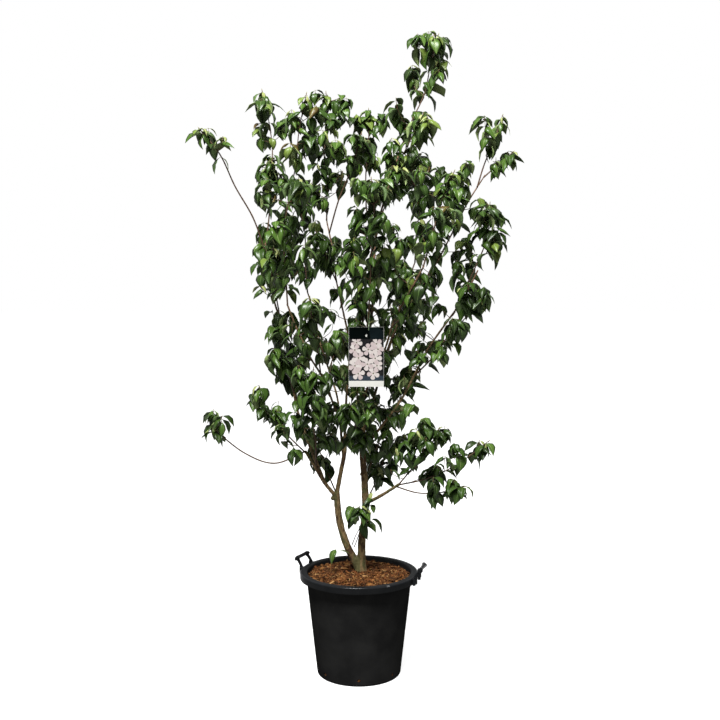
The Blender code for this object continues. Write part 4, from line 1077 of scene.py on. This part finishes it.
def build_mulch(materials):
    """Chips of bark lying over the growing medium, with painted shade: near-black chips in a shallow hollow
    beside the stems.
    """
    chips = Pile()
    rng = random.Random(f"{SEED} mulch")
    edge = BODY_TOP_RADIUS - WALL - 0.004
    for index in range(MULCH_CHIPS):
        radius = edge * math.sqrt(rng.random())
        angle = rng.uniform(0.0, math.tau)
        level = np.interp(
            radius,
            [0.0, SOIL_FLAT_RADIUS, 0.65 * BODY_TOP_RADIUS, BODY_TOP_RADIUS - WALL],
            [SOIL_CROWN, SOIL_CROWN, SOIL_CROWN - 0.007, SOIL_EDGE],
        )
        large = rng.random() < 0.22
        length = rng.uniform(0.015, 0.030) if large else rng.uniform(0.005, 0.014)
        size = (length, length * rng.uniform(0.22, 0.55), rng.uniform(0.0015, 0.0045))
        bends = [[rng.uniform(-0.28, 0.28) for _axis in range(3)] for _corner in range(8)]
        block = BOX_CORNERS * size * (1.0 + np.array(bends))
        turn = Matrix.Rotation(rng.uniform(0.0, math.tau), 3, "Z")
        turn = turn @ Matrix.Rotation(rng.gauss(0.0, 0.36), 3, "Y")
        turn = turn @ Matrix.Rotation(rng.gauss(0.0, 0.42), 3, "X")
        lie = level + rng.uniform(-0.001, 0.0065)
        place = np.array([radius * math.cos(angle), radius * math.sin(angle), lie])
        tint = rng.choices(range(5), (30, 28, 20, 15, 7))[0]
        # Within the hollow the chips sink 1 mm and take the near-black paint: painted shade in the recess
        hollow = math.hypot((place[0] - SHADED_HOLLOW_PLACE[0]) / 0.034, (place[1] - SHADED_HOLLOW_PLACE[1]) / 0.026)
        if hollow < 1.0:
            place[2] = level - 0.001
            tint = 5
        chips.add(block @ np.array(turn).T + place, BOX_FACES, tint)
    depth = pot_radius(DRAIN_HEIGHT) - WALL
    for index in range(DRAIN_HOLES):
        bearing = math.radians(-90.0 + 360.0 * index / DRAIN_HOLES)
        turn = Matrix.Rotation(bearing, 3, "Z")
        for _bit in range(9):
            size = (0.0015, rng.uniform(0.003, 0.007), rng.uniform(0.0015, 0.003))
            out = depth + rng.uniform(0.0, 0.0025)
            shift = [rng.uniform(-0.0045, 0.0045) for _axis in range(2)]
            place = turn @ Vector((out, shift[0], DRAIN_HEIGHT + shift[1]))
            tilt = turn @ Matrix.Rotation(rng.uniform(-0.9, 0.9), 3, "X")
            bit = BOX_CORNERS * size @ np.array(tilt).T + np.array(place)
            chips.add(bit, BOX_FACES, rng.choice((0, 0, 1, 3)))
    chips.build("mulch_chips", materials, "mulch", smooth=False)


# Picture tag

def card_eye(plant):
    """Centre of the card's hole, straight under the place where the loop goes over its bough."""
    hang = plant.at("bough_front", LOOP_ON_BOUGH)
    return Vector((hang.x, hang.y, CARD_LEVEL + CARD_HOLE_OFFSET[1]))


def build_tag(plant, inks, strap):
    """The card with its bands and a spread of plain five-petalled flowers, and the strap it hangs by."""
    eye = card_eye(plant)
    centre = np.array(eye) - np.array([CARD_HOLE_OFFSET[0], 0.0, CARD_HOLE_OFFSET[1]])
    width, thick, height = CARD_SIZE
    card = Pile()
    layer = [0.5 * thick + 0.00015]

    def shape(ring, tint):
        """A thin flat shape printed on the card's front, its ring in shares of the card's size."""
        layer[0] += 0.000004
        foot, head = (0.10, 0.795) if tint in (4, 5, 6) else (0.0, 1.0)
        ring = [(min(0.995, max(0.005, x)), min(head, max(foot, z))) for x, z in ring]
        front = [centre + np.array([(x - 0.5) * width, -layer[0], (z - 0.5) * height]) for x, z in ring]
        back = [point + np.array([0.0, 0.0001, 0.0]) for point in front]
        count = len(ring)
        faces = [tuple(range(count)), tuple(reversed(range(count, 2 * count)))]
        faces += [(a + count, (a + 1) % count + count, (a + 1) % count, a) for a in range(count)]
        card.add(front + back, faces, tint)

    def panel(x0, x1, z0, z1, tint):
        shape([(x0, z0), (x1, z0), (x1, z1), (x0, z1)], tint)

    card.add(BOX_CORNERS * CARD_SIZE + centre, BOX_FACES, 0)
    panel(0.005, 0.995, 0.79, 0.998, 1)
    panel(0.005, 0.995, 0.10, 0.80, 2)
    panel(0.005, 0.995, 0.10, 0.185, 3)
    # A lighter patch over the header's upper right: painted sheen, standing for a reflection on the glossy
    # card
    shape([(0.62, 0.80), (0.995, 0.80), (0.995, 0.93), (0.80, 0.998), (0.56, 0.998)], 7)
    rng = random.Random(f"{SEED} blossom")
    flowers = []
    for row, count in enumerate((2, 3, 2, 3, 2)):
        for column in range(count):
            x = (column + 0.5) / count + rng.uniform(-0.06, 0.06)
            z = 0.235 + 0.125 * row + rng.uniform(-0.02, 0.02)
            flowers.append((x, z, rng.uniform(0.165, 0.205), rng.uniform(0.0, math.tau)))
    rng.shuffle(flowers)
    for x, z, reach, first in flowers:
        for petal in range(5):
            angle = first + math.tau * petal / 5
            ring = []
            for share in np.linspace(0.0, 1.0, 9):
                swing = angle + (share - 0.5) * 1.30
                size = reach * (0.25 + 0.75 * math.sin(math.pi * share) ** 0.35)
                ring.append((x + size * math.cos(swing), z + size * math.sin(swing) * width / height))
            ring.append((x, z))
            shape(ring, 4 + (petal + int(first * 3.0)) % 2)
        around = np.linspace(0.0, math.tau, 8, endpoint=False)
        ring = [(x + 0.022 * math.cos(t), z + 0.013 * math.sin(t)) for t in around]
        shape(ring, 6)
    turn = np.linspace(0.0, math.tau, 12, endpoint=False)
    shape([(0.5 + 0.026 * math.cos(t), 0.855 + 0.022 * math.sin(t)) for t in turn], 0)
    card.build("picture_tag", inks, "tag_card", ["label_card"], smooth=False)

    top = plant.at("bough_front", LOOP_ON_BOUGH)
    slope = plant.at("bough_front", 1.0) - top
    steepness = math.atan2(slope.z, math.hypot(slope.x, slope.y))
    fit = SLIM * plant.radius("bough_front", LOOP_ON_BOUGH) + GAP + LOOP_ROD
    crest = fit / math.cos(steepness)
    dip = eye + Vector((0.0, 0.0, CARD_HOLE_RADIUS - GAP - LOOP_ROD))
    over = [math.pi * index / 12 for index in range(13)]
    under = [math.pi * (1.0 + index / 8) for index in range(9)]
    points = [top + Vector((fit * math.cos(turn), 0.0, crest * math.sin(turn))) for turn in over]
    ring = [Vector((0.0, -math.cos(turn), 1.0 + math.sin(turn))) for turn in under]
    points += [dip + offset * LOOP_EYE_RADIUS for offset in ring]
    points.append(points[0])
    loop = Pile()
    rod(loop, points, [LOOP_ROD] * len(points), 8, 0)
    loop.build("tag_strap", [strap], "tag_loop", ["label_loop"])


# Setting

def build_setting():
    floor_mesh = bpy.data.meshes.new("floor")
    floor_mesh.from_pydata([(-60, -60, 0), (60, -60, 0), (60, 60, 0), (-60, 60, 0)], [], [(0, 1, 2, 3)])
    floor = bpy.data.objects.new("floor", floor_mesh)
    floor.location.z = -0.0005
    bpy.context.scene.collection.objects.link(floor)
    paint = material("floor_paint", FLOOR_GREY, FLOOR_GREY, 0.9, 30.0, 0.0)
    shader = paint.node_tree.nodes["Principled BSDF"]
    shader.inputs["Emission Color"].default_value = (1.0, 1.0, 1.0, 1.0)
    shader.inputs["Emission Strength"].default_value = FLOOR_GLOW
    floor_mesh.materials.append(paint)

    world = bpy.data.worlds.new("studio")
    world.use_nodes = True
    world.node_tree.nodes["Background"].inputs["Color"].default_value = (1.0, 1.0, 1.0, 1.0)
    world.node_tree.nodes["Background"].inputs["Strength"].default_value = 1.0
    bpy.context.scene.world = world

    for name, place, size, power in LIGHTS:
        light = bpy.data.lights.new(name, "AREA")
        light.energy = power
        light.size = size
        lamp = bpy.data.objects.new(name, light)
        lamp.location = place
        aim = Vector(LIGHT_AIM) - Vector(place)
        lamp.rotation_mode = "QUATERNION"
        lamp.rotation_quaternion = aim.to_track_quat("-Z", "Y")
        bpy.context.scene.collection.objects.link(lamp)

    view = bpy.data.cameras.new("view")
    view.lens = CAMERA_LENS
    view.sensor_width = SENSOR_WIDTH
    camera = bpy.data.objects.new("view", view)
    camera.location = CAMERA_PLACE
    camera.rotation_euler = (math.radians(90.0 - CAMERA_PITCH), 0.0, 0.0)
    bpy.context.scene.collection.objects.link(camera)
    bpy.context.scene.camera = camera
    bpy.context.scene.view_settings.view_transform = "Standard"


def main():
    plant = Plant()
    grow_crown(plant, painted(SHOOT_PAINTS), painted(LEAF_PAINTS))
    build_bark(plant, painted(BARK_PAINTS))
    *plastics, grip = painted(PLASTIC_PAINTS)
    build_pot(plastics)
    for node, bearing in HANDLE_BEARINGS.items():
        build_handle(node, bearing, grip)
    *chips, bed = painted(MULCH_PAINTS)
    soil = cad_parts["soil"]
    for index in range(len(soil.material_slots)):
        soil.material_slots[index].material = bed
    build_mulch(chips)
    *inks, strap = painted(TAG_PAINTS)
    build_tag(plant, inks, strap)
    build_setting()


main()
